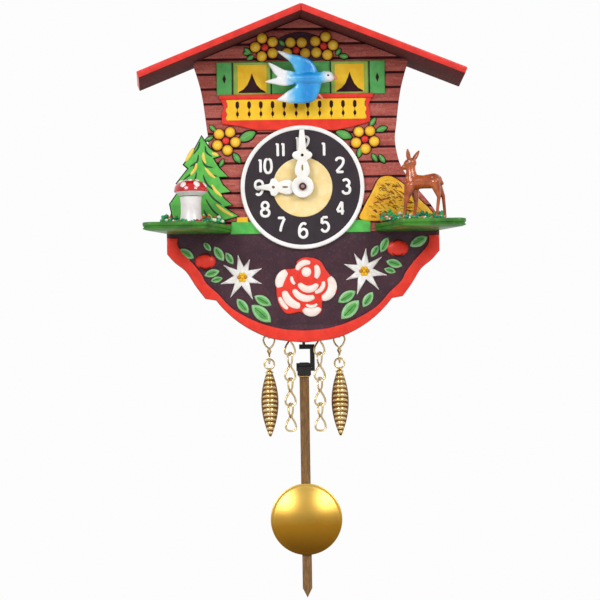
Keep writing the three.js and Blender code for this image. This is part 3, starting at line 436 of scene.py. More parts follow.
class Sculpt:
    """Gathers closed shapes into one piece, each with a material."""

    def __init__(self):
        self.points = []
        self.faces = []
        self.materials = []
        self.indices = []

    def loft(self, rings, material, cap=True, closed=False):
        """Faces between rings of equally many points."""
        if material not in self.materials:
            self.materials.append(material)
        index = self.materials.index(material)
        start = len(self.points)
        count = len(rings[0])
        for ring in rings:
            self.points.extend(ring)
        faces = []
        for r in range(len(rings) if closed else len(rings) - 1):
            low = start + r * count
            high = start + ((r + 1) % len(rings)) * count
            for i in range(count):
                j = (i + 1) % count
                faces.append((low + i, low + j, high + j, high + i))
        if cap and not closed:
            faces.append(tuple(range(start + count - 1, start - 1, -1)))
            last = start + (len(rings) - 1) * count
            faces.append(tuple(range(last, last + count)))
        self.faces.extend(faces)
        self.indices.extend([index] * len(faces))

    def stacked(self, outline, levels, material):
        """An outline at several depths, each with its inset."""
        self.loft([[(x, y, z) for x, z in inset(outline, d)] for d, y in levels], material)

    def relief(self, outline, back, front, material, rounding):
        """A flat shape with a rounded front edge."""
        rounding = min(rounding, abs(back - front))
        levels = [(0.0, back), (0.0, front + rounding)]
        for angle in (math.pi / 6, math.pi / 3, math.pi / 2):
            levels.append((rounding * (1 - math.cos(angle)), front + rounding * (1 - math.sin(angle))))
        self.stacked(anticlockwise(outline), levels, material)

    def dome(self, outline, back, height, material):
        """A cushion over an outline, highest at its middle."""
        outline = anticlockwise(outline)
        cx, cz = (sum(values) / len(outline) for values in zip(*outline))
        foot = 0.12                 # height of the straight edge under the cushion
        rings = [[(x, back, z) for x, z in outline]]
        for step in range(5):
            angle = math.pi / 2 * step / 5
            share = math.cos(angle)
            y = back - foot - (height - foot) * math.sin(angle)
            rings.append([(cx + (x - cx) * share, y, cz + (z - cz) * share) for x, z in outline])
        self.loft(rings, material)

    def ribbon(self, path, widths, back, height, material):
        """A brush stroke: a bar of half-round section along a path, with a half width at each point."""
        rings = []
        last = len(path) - 1
        for i, (x, z) in enumerate(path):
            ahead = Vector(path[min(i + 1, last)]) - Vector(path[max(i - 1, 0)])
            side = Vector((-ahead.y, ahead.x)).normalized() * max(widths[i], 0.02)
            tall = height * min(1.0, widths[i] / (0.6 * max(widths)) + 0.1)
            rings.append([(x + side.x * u, back - tall * v, z + side.y * u)
                          for u, v in ((1, 0), (0.92, 0.6), (0.55, 0.93), (0, 1), (-0.55, 0.93),
                                       (-0.92, 0.6), (-1, 0))])
        self.loft(rings, material)

    def round_stroke(self, path, half, back, height, material):
        """A stroke of even width with round ends."""
        lengths = [0.0]
        for a, b in zip(path, path[1:]):
            lengths.append(lengths[-1] + math.dist(a, b))
        ends = [min(s, lengths[-1] - s) for s in lengths]
        widths = [half * math.sqrt(1 - (1 - min(e / half, 1)) ** 2) for e in ends]
        self.ribbon(path, widths, back, height, material)

    def pointed_stroke(self, path, half, back, height, material, fullness=0.6):
        """A stroke that tapers to a point at both ends."""
        count = len(path) - 1
        widths = [half * math.sin(math.pi * i / count) ** fullness for i in range(count + 1)]
        self.ribbon(path, widths, back, height, material)

    def tube(self, path, radius, material, sides=8, closed=False):
        """Round wire along points in space, with one radius or one for each point."""
        points = [Vector(p) for p in path]
        count = len(points)
        radii = radius if isinstance(radius, list) else [radius] * count
        up = Vector((0, 1, 0))
        rings = []
        for i, here in enumerate(points):
            after = points[(i + 1) % count] if closed else points[min(i + 1, count - 1)]
            before = points[i - 1] if closed else points[max(i - 1, 0)]
            ahead = (after - before).normalized()
            up = up - ahead * up.dot(ahead)
            if up.length < 0.05:
                up = ahead.orthogonal()
            up.normalize()
            across = ahead.cross(up)
            rings.append([tuple(here + radii[i] * (math.cos(a) * up + math.sin(a) * across))
                          for a in turns(sides)])
        self.loft(rings, material, cap=not closed, closed=closed)

    def lathe(self, profile, centre, material, axis="z", sides=32, hollow=False):
        """A profile of (radius, height) turned around an axis; hollow when it is itself a ring."""
        rings = []
        for radius, height in profile:
            ring = []
            for a in turns(sides):
                u, v = max(radius, 0.001) * math.cos(a), max(radius, 0.001) * math.sin(a)
                offset = {"z": (u, v, height), "y": (u, -height, v)}[axis]
                ring.append(tuple(c + o for c, o in zip(centre, offset)))
            rings.append(ring)
        self.loft(rings, material, cap=not hollow, closed=hollow)

    def blob(self, centre, radii, material, rings=5, sides=8, shake=0.0, rng=None):
        """A small ball, squashed and shaken out of true."""
        levels = []
        for r in range(rings + 1):
            tilt = math.pi * (0.04 + 0.92 * r / rings)
            ring = []
            for a in turns(sides):
                swell = 1 + (rng.uniform(-shake, shake) if rng else 0.0)
                ring.append((centre[0] + radii[0] * swell * math.sin(tilt) * math.cos(a),
                             centre[1] + radii[1] * swell * math.sin(tilt) * math.sin(a),
                             centre[2] - radii[2] * swell * math.cos(tilt)))
            levels.append(ring)
        self.loft(levels, material)

    def limb(self, start, end, start_radius, end_radius, material, sides=14):
        """A tapered limb with round ends."""
        a, b = Vector(start), Vector(end)
        ahead = (b - a).normalized()
        tilts = [math.pi / 2 * (k / 5 + 0.04) for k in range(5)]
        path = [a - ahead * start_radius * math.cos(t) for t in tilts] + [a, b]
        path += [b + ahead * end_radius * math.cos(t) for t in reversed(tilts)]
        radii = [start_radius * math.sin(t) for t in tilts] + [start_radius, end_radius]
        radii += [end_radius * math.sin(t) for t in reversed(tilts)]
        self.tube(path, radii, material, sides)

    def shape(self, name, sharp=SHARP):
        """The gathered shapes as one object in the scene."""
        mesh = bpy.data.meshes.new(name)
        mesh.from_pydata([metres(p) for p in self.points], [], self.faces)
        for material in self.materials:
            mesh.materials.append(material)
        mesh.polygons.foreach_set("material_index", self.indices)
        mend(mesh)
        made = bpy.data.objects.new(name, mesh)
        bpy.context.scene.collection.objects.link(made)
        return smoothed(made, sharp)

    def piece(self, name, body, slot, replaces=(), sharp=SHARP):
        made = self.shape(name, sharp)
        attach(made, body)
        if replaces:
            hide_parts(*replaces)
        return made


def mend(mesh, weld=False):
    """Turns all faces outwards, after doubled points are joined and holes are closed if asked."""
    shape = bmesh.new()
    shape.from_mesh(mesh)
    if weld:
        bmesh.ops.remove_doubles(shape, verts=shape.verts, dist=0.002 * MM)
        bmesh.ops.holes_fill(shape, edges=[e for e in shape.edges if e.is_boundary])
    bmesh.ops.recalc_face_normals(shape, faces=shape.faces)
    shape.to_mesh(mesh)
    shape.free()


def smoothed(piece, sharp=None):
    """Shades the piece smooth, but for edges sharper than an angle in degrees."""
    for polygon in piece.data.polygons:
        polygon.use_smooth = True
    if sharp:
        piece.data.set_sharp_from_angle(angle=math.radians(sharp))
    return piece


def applied(piece):
    """Gives the piece the mesh that its modifiers make, and removes them."""
    graph = bpy.context.evaluated_depsgraph_get()
    mesh = bpy.data.meshes.new_from_object(piece.evaluated_get(graph))
    piece.modifiers.clear()
    piece.data = mesh
    return piece


def cut(piece, cutter):
    """Takes the shapes of a cutter out of the piece."""
    tool = cutter.shape("cutter")
    boolean = piece.modifiers.new("cut", "BOOLEAN")
    boolean.object = tool
    boolean.operation = "DIFFERENCE"
    boolean.solver = "EXACT"
    applied(piece)
    bpy.data.objects.remove(tool)
    return smoothed(piece, SHARP)


def fused(piece, voxel, smoothing):
    """Melts the shapes of a figure into one skin."""
    remesh = piece.modifiers.new("fuse", "REMESH")
    remesh.mode = "VOXEL"
    remesh.voxel_size = voxel * MM
    soften = piece.modifiers.new("soften", "SMOOTH")
    soften.factor = 0.5
    soften.iterations = smoothing
    return smoothed(applied(piece))


def bevelled(piece, width, segments, angle):
    """Rounds the edges sharper than an angle in degrees."""
    bevel = piece.modifiers.new("edges", "BEVEL")
    bevel.width = width * MM
    bevel.segments = segments
    bevel.limit_method = "ANGLE"
    bevel.angle_limit = math.radians(angle)


# ---- roof ----

ROOF_LOW, ROOF_HIGH = drawn_box("roof_right")
ROOF_PITCH = math.radians(22)
ROOF_THICKNESS = 3.0
RIDGE = ROOF_HIGH[2]


def roof_underside(x):
    return RIDGE - ROOF_THICKNESS / math.cos(ROOF_PITCH) - abs(x) * math.tan(ROOF_PITCH)


def roof(side, name, node):
    reach = ROOF_HIGH[0]
    top = (reach, RIDGE - reach * math.tan(ROOF_PITCH))
    low = (top[0] - ROOF_THICKNESS * math.sin(ROOF_PITCH), top[1] - ROOF_THICKNESS * math.cos(ROOF_PITCH))
    joint = 0.02                    # half the gap between the two boards
    corners = [(joint, RIDGE - joint * math.tan(ROOF_PITCH)), (joint, roof_underside(joint)), low, top]
    outline = anticlockwise(mirrored(corners, side))
    rounding = 0.45
    front, back = ROOF_LOW[1], ROOF_HIGH[1]
    tilts = [math.pi / 2 * step / 3 for step in range(4)]
    ends = [(rounding * (1 - math.sin(t)), rounding * (1 - math.cos(t))) for t in tilts]
    rings = [(d, front + y) for d, y in ends] + [(d, back - y) for d, y in reversed(ends)]
    board = Sculpt()
    board.stacked(outline, rings, ROOF_RED)
    piece = board.piece(name, "case", "roof_paint", [node], 30)
    bevelled(piece, 0.35, 3, 50)
    smoothed(applied(piece)).data.materials.append(ROOF_BROWN)
    for polygon in piece.data.polygons:
        if polygon.normal.z < -0.5:
            polygon.material_index = 1


for side, word in ((-1, "left"), (1, "right")):
    roof(side, "roof_board_" + word, "roof_" + word)


# ---- front panel: log wall above, dark board below ----

PANEL_LOW, PANEL_HIGH = drawn_box("front_panel")
PANEL_FRONT = PANEL_LOW[1]
PANEL_BACK = PANEL_HIGH[1]
GABLE_TOP = roof_underside(0) - 0.3
EAVE = 46
WALL_FOOT = -20
LOG_PITCH = 6.35
LOG_START = 29.7
FACE = PANEL_FRONT + 0.35
BED = PANEL_FRONT + 0.5             # back of every raised shape, sunk into the panel
FOOT = -65.9                        # lower edge of the panel


class Relief(Sculpt):
    """Shapes that stand up from the panel."""

    def raised(self, outline, rise, material, rounding):
        self.relief(outline, BED, PANEL_FRONT - rise, material, rounding)

    def mounted(self, name, replaces=()):
        return self.piece(name, "case", "front_relief", replaces)


def panel_edge():
    """The right edge of the panel from the gable down to the middle of the apron."""
    flank = catmull([(EAVE, roof_underside(EAVE) - 0.3), (42.5, 41.5), (40.4, 26.4), (39.8, 18.7),
                     (42.3, 8.3), (49, -1), (56, -10), (58, -17)])
    skirt = catmull([(58, -27.6), (54.7, -31.3), (50, -35.2), (46, -41.4), (42, -46.8)])
    apron = catmull([(37.4, -47.6), (34.2, -51.4), (28.5, -56.6), (21, -61.3), (12.5, -64.5), (0, -66)])
    return [(0.0, GABLE_TOP)] + flank + skirt + apron


EDGE = panel_edge()


def half_width(z):
    for (x1, z1), (x2, z2) in zip(EDGE, EDGE[1:]):
        if z2 <= z <= z1:
            return x1 + (x2 - x1) * (z1 - z) / (z1 - z2)
    return 0.0


def log_rows():
    """Heights down the wall, each with its depth behind the log faces and its material."""
    rows = []
    course = LOG_START + LOG_PITCH * math.ceil((GABLE_TOP - LOG_START) / LOG_PITCH)
    profile = [(0.0, 0.75), (0.35, 0.75), (0.5, 0.3), (1.0, 0.08), (2.2, 0.0), (4.2, 0.0), (5.4, 0.1),
               (5.85, 0.3), (6.0, 0.75)]
    while course > WALL_FOOT:
        for drop, depth in profile:
            z = course - drop
            if WALL_FOOT < z < GABLE_TOP - 0.2:
                rows.append((z, depth, GROOVE if drop < 0.4 or drop > 5.7 else LOGS))
        course -= LOG_PITCH
    return rows


def panel_ring(z, depth):
    half = max(half_width(z), 0.3)
    front = FACE + depth
    corner = min(0.5, half / 2)
    return [(-half, PANEL_BACK, z), (-half, front + 0.5, z), (-half + 0.15, front + 0.15, z),
            (-half + corner, front, z), (half - corner, front, z), (half - 0.15, front + 0.15, z),
            (half, front + 0.5, z), (half, PANEL_BACK, z)]


def front_panel():
    panel = Relief()
    rows = log_rows()
    for (z1, d1, material), (z2, d2, _) in zip(rows, rows[1:]):
        panel.loft([panel_ring(z1, d1), panel_ring(z2, d2)], material, cap=False)
    heights = [rows[-1][0], WALL_FOOT] + [z for _, z in EDGE if FOOT < z < WALL_FOOT - 0.5] + [FOOT]
    rings = [panel_ring(z, 0.0) for z in heights]
    panel.loft(rings, BOARD, cap=False)
    for ring in (panel_ring(*rows[0][:2]), rings[-1]):
        panel.loft([ring, [(x * 0.5, y, z) for x, y, z in ring]], BOARD, cap=False)
    piece = panel.mounted("log_wall_and_board", ["front_panel"])
    mend(piece.data, weld=True)
    slotted(piece)


def slotted(piece):
    """Cuts the slot that the bird's wire comes out of."""
    cutter = Sculpt()
    cutter.loft([[(x, y, z) for x, z in rectangle(-2.6, 2.6, 44.0, 46.0)] for y in (-40, -20)], GROOVE)
    cut(piece, cutter)


def red_border():
    """The red band round the lower board."""
    inner = catmull([(53.4, -21), (53.0, -25), (47, -32), (43.6, -36.3), (41.4, -40.4), (36.6, -44.9),
                     (31.6, -50.4), (25.6, -54.4), (18.2, -57.8), (9.5, -60.2), (0, -61)], 4)
    outer = [(58, -21), (58, -27.6)] + [p for p in EDGE if p[1] < -27.6]
    right = [(x - 0.12, z) for x, z in outer[:-1]] + [(0, FOOT)]
    border = Relief()
    border.raised(both_sides(right) + both_sides(inner)[::-1], 0.45, RED, 0.35)
    border.mounted("red_border")


# ---- relief on the panel ----

UPPER_SHIFT = 1.5                   # centres the painted shapes of the gable
LOWER_SHIFT = 0.7                   # and those of the lower board


def leaf(sculpt, start, end, fullness, on_board):
    """A leaf from end to end, as layers: rim, blade and midrib."""
    a, b = Vector(start), Vector(end)
    half = 0.5 * fullness * (b - a).length
    layers = [(-0.07, 1.07, 1.35 * half, 0.62, OUTLINE, 0.75), (0.0, 1.0, half, 1.2, GREEN, 0.75),
              (0.12, 0.82, 0.22, 1.32, PALE_GREEN, 0.4)]
    if on_board:
        layers = [(0.0, 1.0, 1.12 * half, 0.95, PALE_GREEN, 0.75), (0.1, 0.9, 0.78 * half, 1.2, GREEN, 0.75),
                  (0.12, 0.82, 0.22, 1.32, TREE_SHADE, 0.4)]
    steps = 10
    for first, last, width, height, material, roundness in layers:
        path = [tuple(a + (b - a) * (first + (last - first) * i / steps)) for i in range(steps + 1)]
        sculpt.pointed_stroke(path, width, BED, height, material, roundness)


def flower(sculpt, centre, first_angle):
    """Five round petals around a red heart, on a dark rosette."""
    sculpt.raised(circle(centre, 4.6, 20), 0.15, OUTLINE, 0.2)
    sculpt.dome(circle(centre, 1.7, 12), BED, 1.3, RED)
    rings = [([(2.55, 0), (2.55, 0.6), (2.3, 0.75)], OUTLINE, 20),
             ([(2.2, 0), (2.25, 1.0), (2.1, 1.25), (1.8, 1.35), (1.6, 1.3)], AMBER, 20),
             ([(1.72, 0), (1.72, 1.35), (1.5, 1.55), (1.0, 1.66), (0.4, 1.6)], YELLOW, 20),
             ([(0.75, 0), (0.75, 1.6), (0.5, 1.78), (0.2, 1.82)], PALE_YELLOW, 12)]
    for x, z in arc(centre, 4.1, first_angle, first_angle + 288, 4):
        for profile, material, sides in rings:
            sculpt.lathe(profile, (x, BED, z), material, "y", sides)


def garlands():
    flowers = Relief()
    dark = catmull([(-12, 57), (-11, 63.5), (-2, 66.5), (7, 64), (9, 58), (6, 54.4), (-8, 54.4)], 5, True)
    flowers.raised(moved(dark, UPPER_SHIFT), 0.05, BOARD, 0.2)
    for x, z, angle, shift in ((-16.6, 60.0, 34, UPPER_SHIFT), (-3.3, 58.6, 53, UPPER_SHIFT),
                               (8.4, 60.2, 5, UPPER_SHIFT), (-32.3, 20.3, -9, 0), (26.9, 20.2, -15, 0)):
        flower(flowers, (x + shift, z), angle)
    flowers.mounted("garland_flowers")

    leaves = Relief()
    upper = [((-25.3, 59.9), (-22.7, 57.2)), ((-24.5, 54.9), (-21.2, 56.6)), ((-26, 57.5), (-22.5, 58)),
             ((13.7, 56.3), (15.8, 59.2)), ((14.9, 56), (19.1, 55.6)), ((-10.5, 63), (-8, 60.6))]
    middle_rows = [
        ((-39.2, 27.1), (-36.4, 24.2)), ((-41.2, 20.5), (-37.6, 22.1)), ((-27, 20.2), (-19.4, 24.0)),
        ((-29.4, 15.2), (-26.2, 10.7)), ((-35.2, 9), (-33.3, 12.7)), ((14.4, 23.7), (21.6, 20.8)),
        ((29, 25.5), (31.6, 29.4)), ((31.6, 23.6), (36.6, 25.2)), ((25, 16.9), (24, 12.2)),
        ((29.8, 14), (32.1, 10.4)), ((32.8, 13.7), (35.3, 9.8))]
    lower = [
        ((-53.7, -25.7), (-47.3, -29.6)), ((-43, -22.9), (-40.1, -26.6)), ((-38.6, -24.7), (-34.7, -30.9)),
        ((-33.8, -27.3), (-30.7, -32.4)), ((-43, -37), (-36.5, -35.1)), ((-40.3, -39.4), (-35.2, -38.2)),
        ((-29.3, -47.1), (-24.5, -53.3)), ((-21.9, -46), (-14.7, -50.1)), ((-23.1, -49.8), (-15, -57.3)),
        ((28.1, -30.1), (31.2, -25.1)), ((32.2, -28.2), (35.4, -21.8)), ((44.6, -25.7), (52.2, -21.8)),
        ((34.4, -31.9), (41.3, -34.1)), ((33.5, -35.2), (38.5, -36.7)), ((13.7, -49.2), (21.2, -44.5)),
        ((24.2, -51.4), (28.5, -45)), ((14.9, -56.3), (22.6, -48.5))]
    for group, shift, fullness, on_board in ((upper, UPPER_SHIFT, 0.55, False), (middle_rows, 0, 0.46, False),
                                             (lower, LOWER_SHIFT, 0.46, True)):
        for ends in group:
            leaf(leaves, *moved(ends, shift), fullness, on_board)
    leaves.mounted("garland_leaves")


def windows():
    """Shutters, lime frames and two windows with parted curtains, on one green strip."""
    top, foot = 53.8, 39.6
    strip = Relief()
    strip.raised(rectangle(-35.9, 35.9, foot, top), 0.25, SHUTTER_GREEN, 0.2)
    slotted(strip.mounted("window_strip"))
    boards = [(13.1, 28.6, 0.2, 0.3, 0.5, LIME, 0.25), (14.5, 27.0, 1.0, 1.2, 0.65, YELLOW, 0.25),
              (12.35, 12.85, 0.2, 0.2, 0.43, OUTLINE, 0.08), (28.85, 29.35, 0.2, 0.2, 0.43, OUTLINE, 0.08),
              (29.5, 35.8, 0, 0, 0.55, SHUTTER_GREEN, 0.3), (4.2, 12.0, 0.6, 0.6, 0.55, SHUTTER_GREEN, 0.3)]
    curtain_gap = both_sides([(0, 49.1), (0.8, 46.6), (2.0, 44.0), (3.6, 42.2), (5.7, 41.0), (5.7, 40.6)])
    diamond = [(0, 2.0), (0.8, 0), (0, -2.0), (-0.8, 0)]
    panes = Relief()
    for side in (-1, 1):
        for x1, x2, below, above, rise, material, rounding in boards:
            board = mirrored(rectangle(x1, x2, foot + below, top - above), side)
            panes.raised(board, rise, material, rounding)
        panes.raised(moved(curtain_gap, side * 20.8), 0.77, OUTLINE, 0.1)
        panes.raised(moved(diamond, side * 32.6, 46.6), 0.65, OUTLINE, 0.08)
    panes.mounted("shutters_and_windows")


def balcony():
    """Red rail and apron with a row of yellow balusters, sawn out with keyhole gaps."""
    centre = -2.2
    half = 32.8
    rail = Relief()
    apron = [(-half, 39.6), (-half + 1.0, 37.2), (-half + 2.0, 34.6), (-half + 1.2, 32.0),
             (-half + 1.0, 27.4), (-24, 26.4), (-17, 24.6), (17, 24.2), (24, 25.6), (half - 1.4, 27.6),
             (half - 1.2, 32.0), (half - 2.0, 34.6), (half - 1.0, 37.2), (half, 39.6)]
    rail.raised(moved(apron, centre), 0.7, RED, 0.35)
    rail.raised(moved(rectangle(-half, half, 37.9, 39.9), centre), 1.25, RED, 0.4)
    rail.mounted("balcony_rail")
    balusters = Relief()
    baluster = both_sides([(2.42, 29.3), (2.42, 30.4), (1.95, 31.0), (1.9, 31.9), (2.42, 32.8), (2.42, 33.6),
                           (1.75, 34.6), (1.75, 36.2), (2.2, 37.0), (2.3, 37.4)])
    count, pitch = 12, 5.0
    for i in range(count):
        balusters.raised(moved(baluster, centre + (i - (count - 1) / 2) * pitch), 1.05, YELLOW, 0.25)
    for wide, low, high, rise, material, rounding in ((29.6, 28.9, 29.8, 1.0, YELLOW, 0.2),
                                                      (29.6, 36.9, 37.7, 1.0, YELLOW, 0.2),
                                                      (29.4, 29.2, 37.4, 0.76, OUTLINE, 0.05)):
        balusters.raised(moved(rectangle(-wide, wide, low, high), centre), rise, material, rounding)
    balusters.mounted("balcony_balusters")


def pine_tree():
    outline = [(-42.6, 22.4), (-39.4, 17.2), (-34.8, 13.8), (-37.9, 12.9), (-35.2, 8.6), (-31.6, 4.9),
               (-35.6, 4.9), (-33.8, 1.4), (-30.6, -1.5), (-35.0, -2.1), (-33.2, -4.6), (-30.0, -7.2),
               (-33.6, -7.9), (-31.0, -9.8), (-27.4, -11.9), (-33.6, -13.6), (-38, -15.6), (-54.6, -15.6),
               (-56.4, -6.4), (-51.6, 0.4), (-53.4, 2.4), (-48.4, 8.7), (-50.3, 10.4), (-46, 16)]
    tree = Relief()
    tree.raised(inset(anticlockwise(outline), -0.45), 0.05, OUTLINE, 0.1)
    tree.relief(outline, PANEL_BACK, PANEL_FRONT - 0.75, TREE_GREEN, 0.55)
    boughs = [((-43.2, 20.6), (-44.2, 17.4), (-46.6, 14.2)), ((-41.2, 18.8), (-40.6, 15.4), (-37.6, 13.2)),
              ((-44.0, 15.4), (-44.8, 11.4), (-48.4, 9.2)), ((-42.4, 14.6), (-41.4, 10.0), (-37.2, 8.8)),
              ((-45.6, 12.0), (-46.6, 7.2), (-51.6, 3.2)), ((-41.4, 10.6), (-39.4, 6.4), (-35.4, 5.0)),
              ((-44.8, 8.2), (-46.2, 2.4), (-50.8, -2.6)), ((-42.4, 6.8), (-40.4, 1.6), (-35.2, -2.0)),
              ((-41.6, 1.6), (-38.4, -3.8), (-33.6, -7.6)), ((-44.6, 2.6), (-46.4, -4.4), (-51.6, -9.2)),
              ((-41.8, -3.4), (-38.2, -9.4), (-33.4, -13.2)), ((-44.4, -4.0), (-45.4, -10.2), (-48.6, -14.4)),
              ((-42.4, -8.4), (-40.6, -12.2), (-38.2, -15.0))]
    for bough in boughs:
        tree.pointed_stroke(catmull(bough, 5), 0.74, BED, 1.38, TREE_SHADE, 0.6)
    lights = [((-45.9, 17.6), (-47.6, 14.6), (-49.6, 11.4)), ((-42.0, 16.0), (-41.8, 12.6), (-40.8, 10.4)),
              ((-44.8, 11.4), (-45.6, 8.4), (-48.2, 5.2)), ((-41.6, 9.6), (-39.4, 6.4), (-36.6, 4.2)),
              ((-38.9, 2.2), (-36.8, -1.2), (-34.0, -3.8)), ((-37.4, -6.2), (-33.6, -9.6), (-28.8, -12.2)),
              ((-46.4, 2.4), (-48.4, -1.8), (-51.6, -5.4)), ((-40.6, -10.2), (-38.2, -13.4), (-34.6, -14.8)),
              ((-38.6, 15.2), (-37.0, 14.6), (-35.4, 13.9))]
    for light in lights:
        tree.pointed_stroke(catmull(light, 5), 1.0, BED, 1.5, PALE_YELLOW, 0.7)
    tree.mounted("pine_tree_relief")


def hay():
    """A shock of hay, with dark brush strokes laid by a seeded hand."""
    outline = catmull([(32.2, 2.8), (35.2, 4.3), (38.8, 3.8), (44, 0), (50, -6), (55, -11.3), (53.6, -12.8),
                       (38.4, -12.9), (36.4, -14.8), (24.6, -14.1), (25.8, -9.2), (29.4, -2.6)], 4, True)
    stack = Relief()
    stack.raised(inset(anticlockwise(outline), -0.4), 0.05, OUTLINE, 0.1)
    stack.raised(outline, 0.9, STRAW, 0.6)
    rng = random.Random(11)
    core = inset(anticlockwise(outline), 1.3)

    def inside(x, z):
        hits = 0
        for (x1, z1), (x2, z2) in zip(core, core[1:] + core[:1]):
            if (z1 > z) != (z2 > z) and x < x1 + (x2 - x1) * (z - z1) / (z2 - z1):
                hits += 1
        return hits % 2 == 1

    for _ in range(330):
        x, z = rng.uniform(25, 54), rng.uniform(-14.5, 4)
        lean = rng.choice((rng.uniform(-0.35, 0.2), rng.uniform(-0.9, -0.5)))
        reach = rng.uniform(0.8, 2.2)
        start = (x - reach * math.cos(lean), z - reach * math.sin(lean))
        end = (x + reach * math.cos(lean), z + reach * math.sin(lean))
        if inside(*start) and inside(*end):
            path = catmull([start, (x, z + rng.uniform(0.2, 0.6)), end], 4)
            straw = STRAW_SHADE if rng.random() < 0.55 else PALE_YELLOW
            stack.pointed_stroke(path, rng.uniform(0.2, 0.42), BED, rng.uniform(1.5, 1.8), straw, 0.6)
    stack.mounted("hay_relief")


def meadow_strips():
    strips = Relief()
    for outline, material in (([(-30.4, -14.4), (-30.8, -19.6), (-16, -19.6), (-16, -14.4)], STRIP_GREEN),
                              ([(16, -14.2), (16, -19.4), (28.7, -19.4), (28.7, -14.2)], STRIP_GREEN),
                              ([(-28.2, -14.6), (-23.2, -14.6), (-23.4, -12.3), (-28, -12.5)], YELLOW)):
        strips.raised(outline, 0.28, material, 0.25)
    strips.mounted("meadow_strips")


def edelweiss():
    """Two stars of eight white petals, each with a heart of yellow knobs."""
    left = [(-28.6, -28.5), (-23.6, -30.3), (-18.6, -34.3), (-18.7, -40.8), (-22.6, -47.4), (-32, -46.4),
            (-36.1, -40.7), (-34.8, -32.6)]
    right = [(25.9, -26.4), (32.5, -30.1), (34.7, -37.9), (31.1, -44), (21.8, -45.9), (17.3, -39.7),
             (16.6, -33), (20.9, -28.5)]
    shares = [0.7, 0.95, 1.0, 0.9, 0.74, 0.55, 0.36, 0.2, 0.05]
    flowers = Relief()
    for centre, tips in (((-26.9, -38.0), left), ((25.0, -36.1), right)):
        cx, cz = centre[0] + LOWER_SHIFT, centre[1]
        for i, (tx, tz) in enumerate(moved(tips, LOWER_SHIFT)):
            lift, half = (0.12, 1.65) if i % 2 else (0.0, 1.85)
            path = [(cx + (tx - cx) * t / 8, cz + (tz - cz) * t / 8) for t in range(9)]
            flowers.ribbon(path, [half * s for s in shares], BED, 1.15 + lift, WHITE)
            flowers.ribbon(path[1:8], [0.1] * 7, BED, 1.24 + lift, ROSE_WHITE)
        for k, (x, z) in enumerate([(cx, cz)] + circle((cx, cz), 1.45, 6)):
            flowers.lathe([(0.85, 0), (0.8, 0.7), (0.55, 1.15), (0.2, 1.3)], (x, BED - 0.6, z),
                          AMBER if k % 3 == 1 else YELLOW, "y", 12)
    flowers.mounted("edelweiss_relief")


def rose_and_buds():
    rose = Relief()
    blob = catmull([(0.4, -29.4), (6.3, -31), (9.1, -35.2), (12.8, -40.3), (13.2, -45.4), (7.7, -48),
                    (6.7, -53.7), (1.6, -55.4), (-2.5, -53.5), (-8.4, -54.1), (-12.1, -49.1),
                    (-12.9, -43.2), (-12.8, -38.6), (-9.8, -34.7), (-4.7, -34.1), (-3.8, -31.2)], 4, True)
    rose.raised(inset(anticlockwise(moved(blob, LOWER_SHIFT)), 0.35), 0.5, RED, 0.45)
    cx, cz = 0.2 + LOWER_SHIFT, -42.2
    petals = [((0.25, 6.1), 4.0, 175, 60, 1.1), ((0.25, 6.1), 4.7, 40, -40, 1.1),
              ((-5.0, 0.8), 6.3, 115, 195, 1.6), ((-2.9, 3.6), 3.2, 165, 240, 0.7),
              ((1.0, 2.9), 4.2, 195, 340, 1.3), ((0.4, 0.8), 6.0, 195, 305, 1.3),
              ((-2.1, -1.3), 7.1, 180, 270, 1.5), ((-2.5, -2.1), 9.2, 193, 236, 0.9),
              ((5.9, 0.0), 5.2, 50, -90, 1.6), ((3.4, 1.3), 4.0, 15, -92, 0.9),
              ((2.1, -6.7), 4.4, 215, 330, 1.4), ((2.1, -5.5), 3.2, 220, 325, 0.65)]
    for (px, pz), radius, start, end, half in petals:
        path = arc((cx + px, cz + pz), radius, start, end, 14)
        rose.pointed_stroke(path, half * 1.34, BED, 1.5, ROSE_WHITE, 0.32)
    rose.dome(circle((cx + 0.2, cz + 6.1), 2.5, 18), BED, 1.7, ROSE_WHITE)
    for bx, bz, wide, tall in ((-42.5, -31.1, 4.5, 3.2), (39.5, -26.5, 4.6, 3.5)):
        bud = (bx + LOWER_SHIFT, bz)
        rose.dome(oval(bud, wide, tall, 22), BED, 1.6, RED)
        for lift, start, end in ((-0.6, 200, 330), (0.6, 20, 150)):
            crease = arc((bud[0], bz + lift), wide * 0.62, start, end, 8)
            rose.pointed_stroke(crease, 0.16, BED - 0.7, 0.72, GROOVE, 0.5)
    rose.mounted("rose_and_buds")


for relief in (front_panel, red_border, garlands, windows, balcony, pine_tree, hay, meadow_strips, edelweiss,
               rose_and_buds):
    relief()


# ---- case boards that stay as they are ----

def refinish(material, width, *nodes, play=0.0):
    """A CAD node keeps its shape and gets a material and softened edges, and some play if asked."""
    for name in nodes:
        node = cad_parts[name]
        node.data.materials.clear()
        node.data.materials.append(material)
        if play:
            thinner = node.modifiers.new("play", "DISPLACE")
            thinner.mid_level = 0
            thinner.strength = -play * MM
        bevelled(node, width, 2, 62)


refinish(CASE_WOOD, 0.3, "case_side_left", "case_side_right", "case_bottom", "back_board",
         "mounting_rail_left", "mounting_rail_right")
refinish(BRASS, 0.08, "front_plate", "back_plate", "centre_wheel", "third_wheel", "barrel",
         "barrel_cover", "minute_wheel", "hour_wheel", "winding_key")
refinish(BRASS, 0.04, "escape_wheel", play=0.1)
refinish(STEEL, 0.06, "pillar_1", "pillar_2", "pillar_3", "pillar_4", "movement_screw_left",
         "movement_screw_right", "mainspring", "ratchet_wheel", "centre_arbor", "cannon_pinion", "click",
         "click_spring", "bird_wire")
refinish(STEEL, 0.04, "winding_arbor", "anchor", play=0.07)
refinish(BLACK, 0.12, "crutch", "pendulum_leader")
refinish(ROD, 0.3, "pendulum_rod")


# ---- shelves, grass, mushroom and deer ----

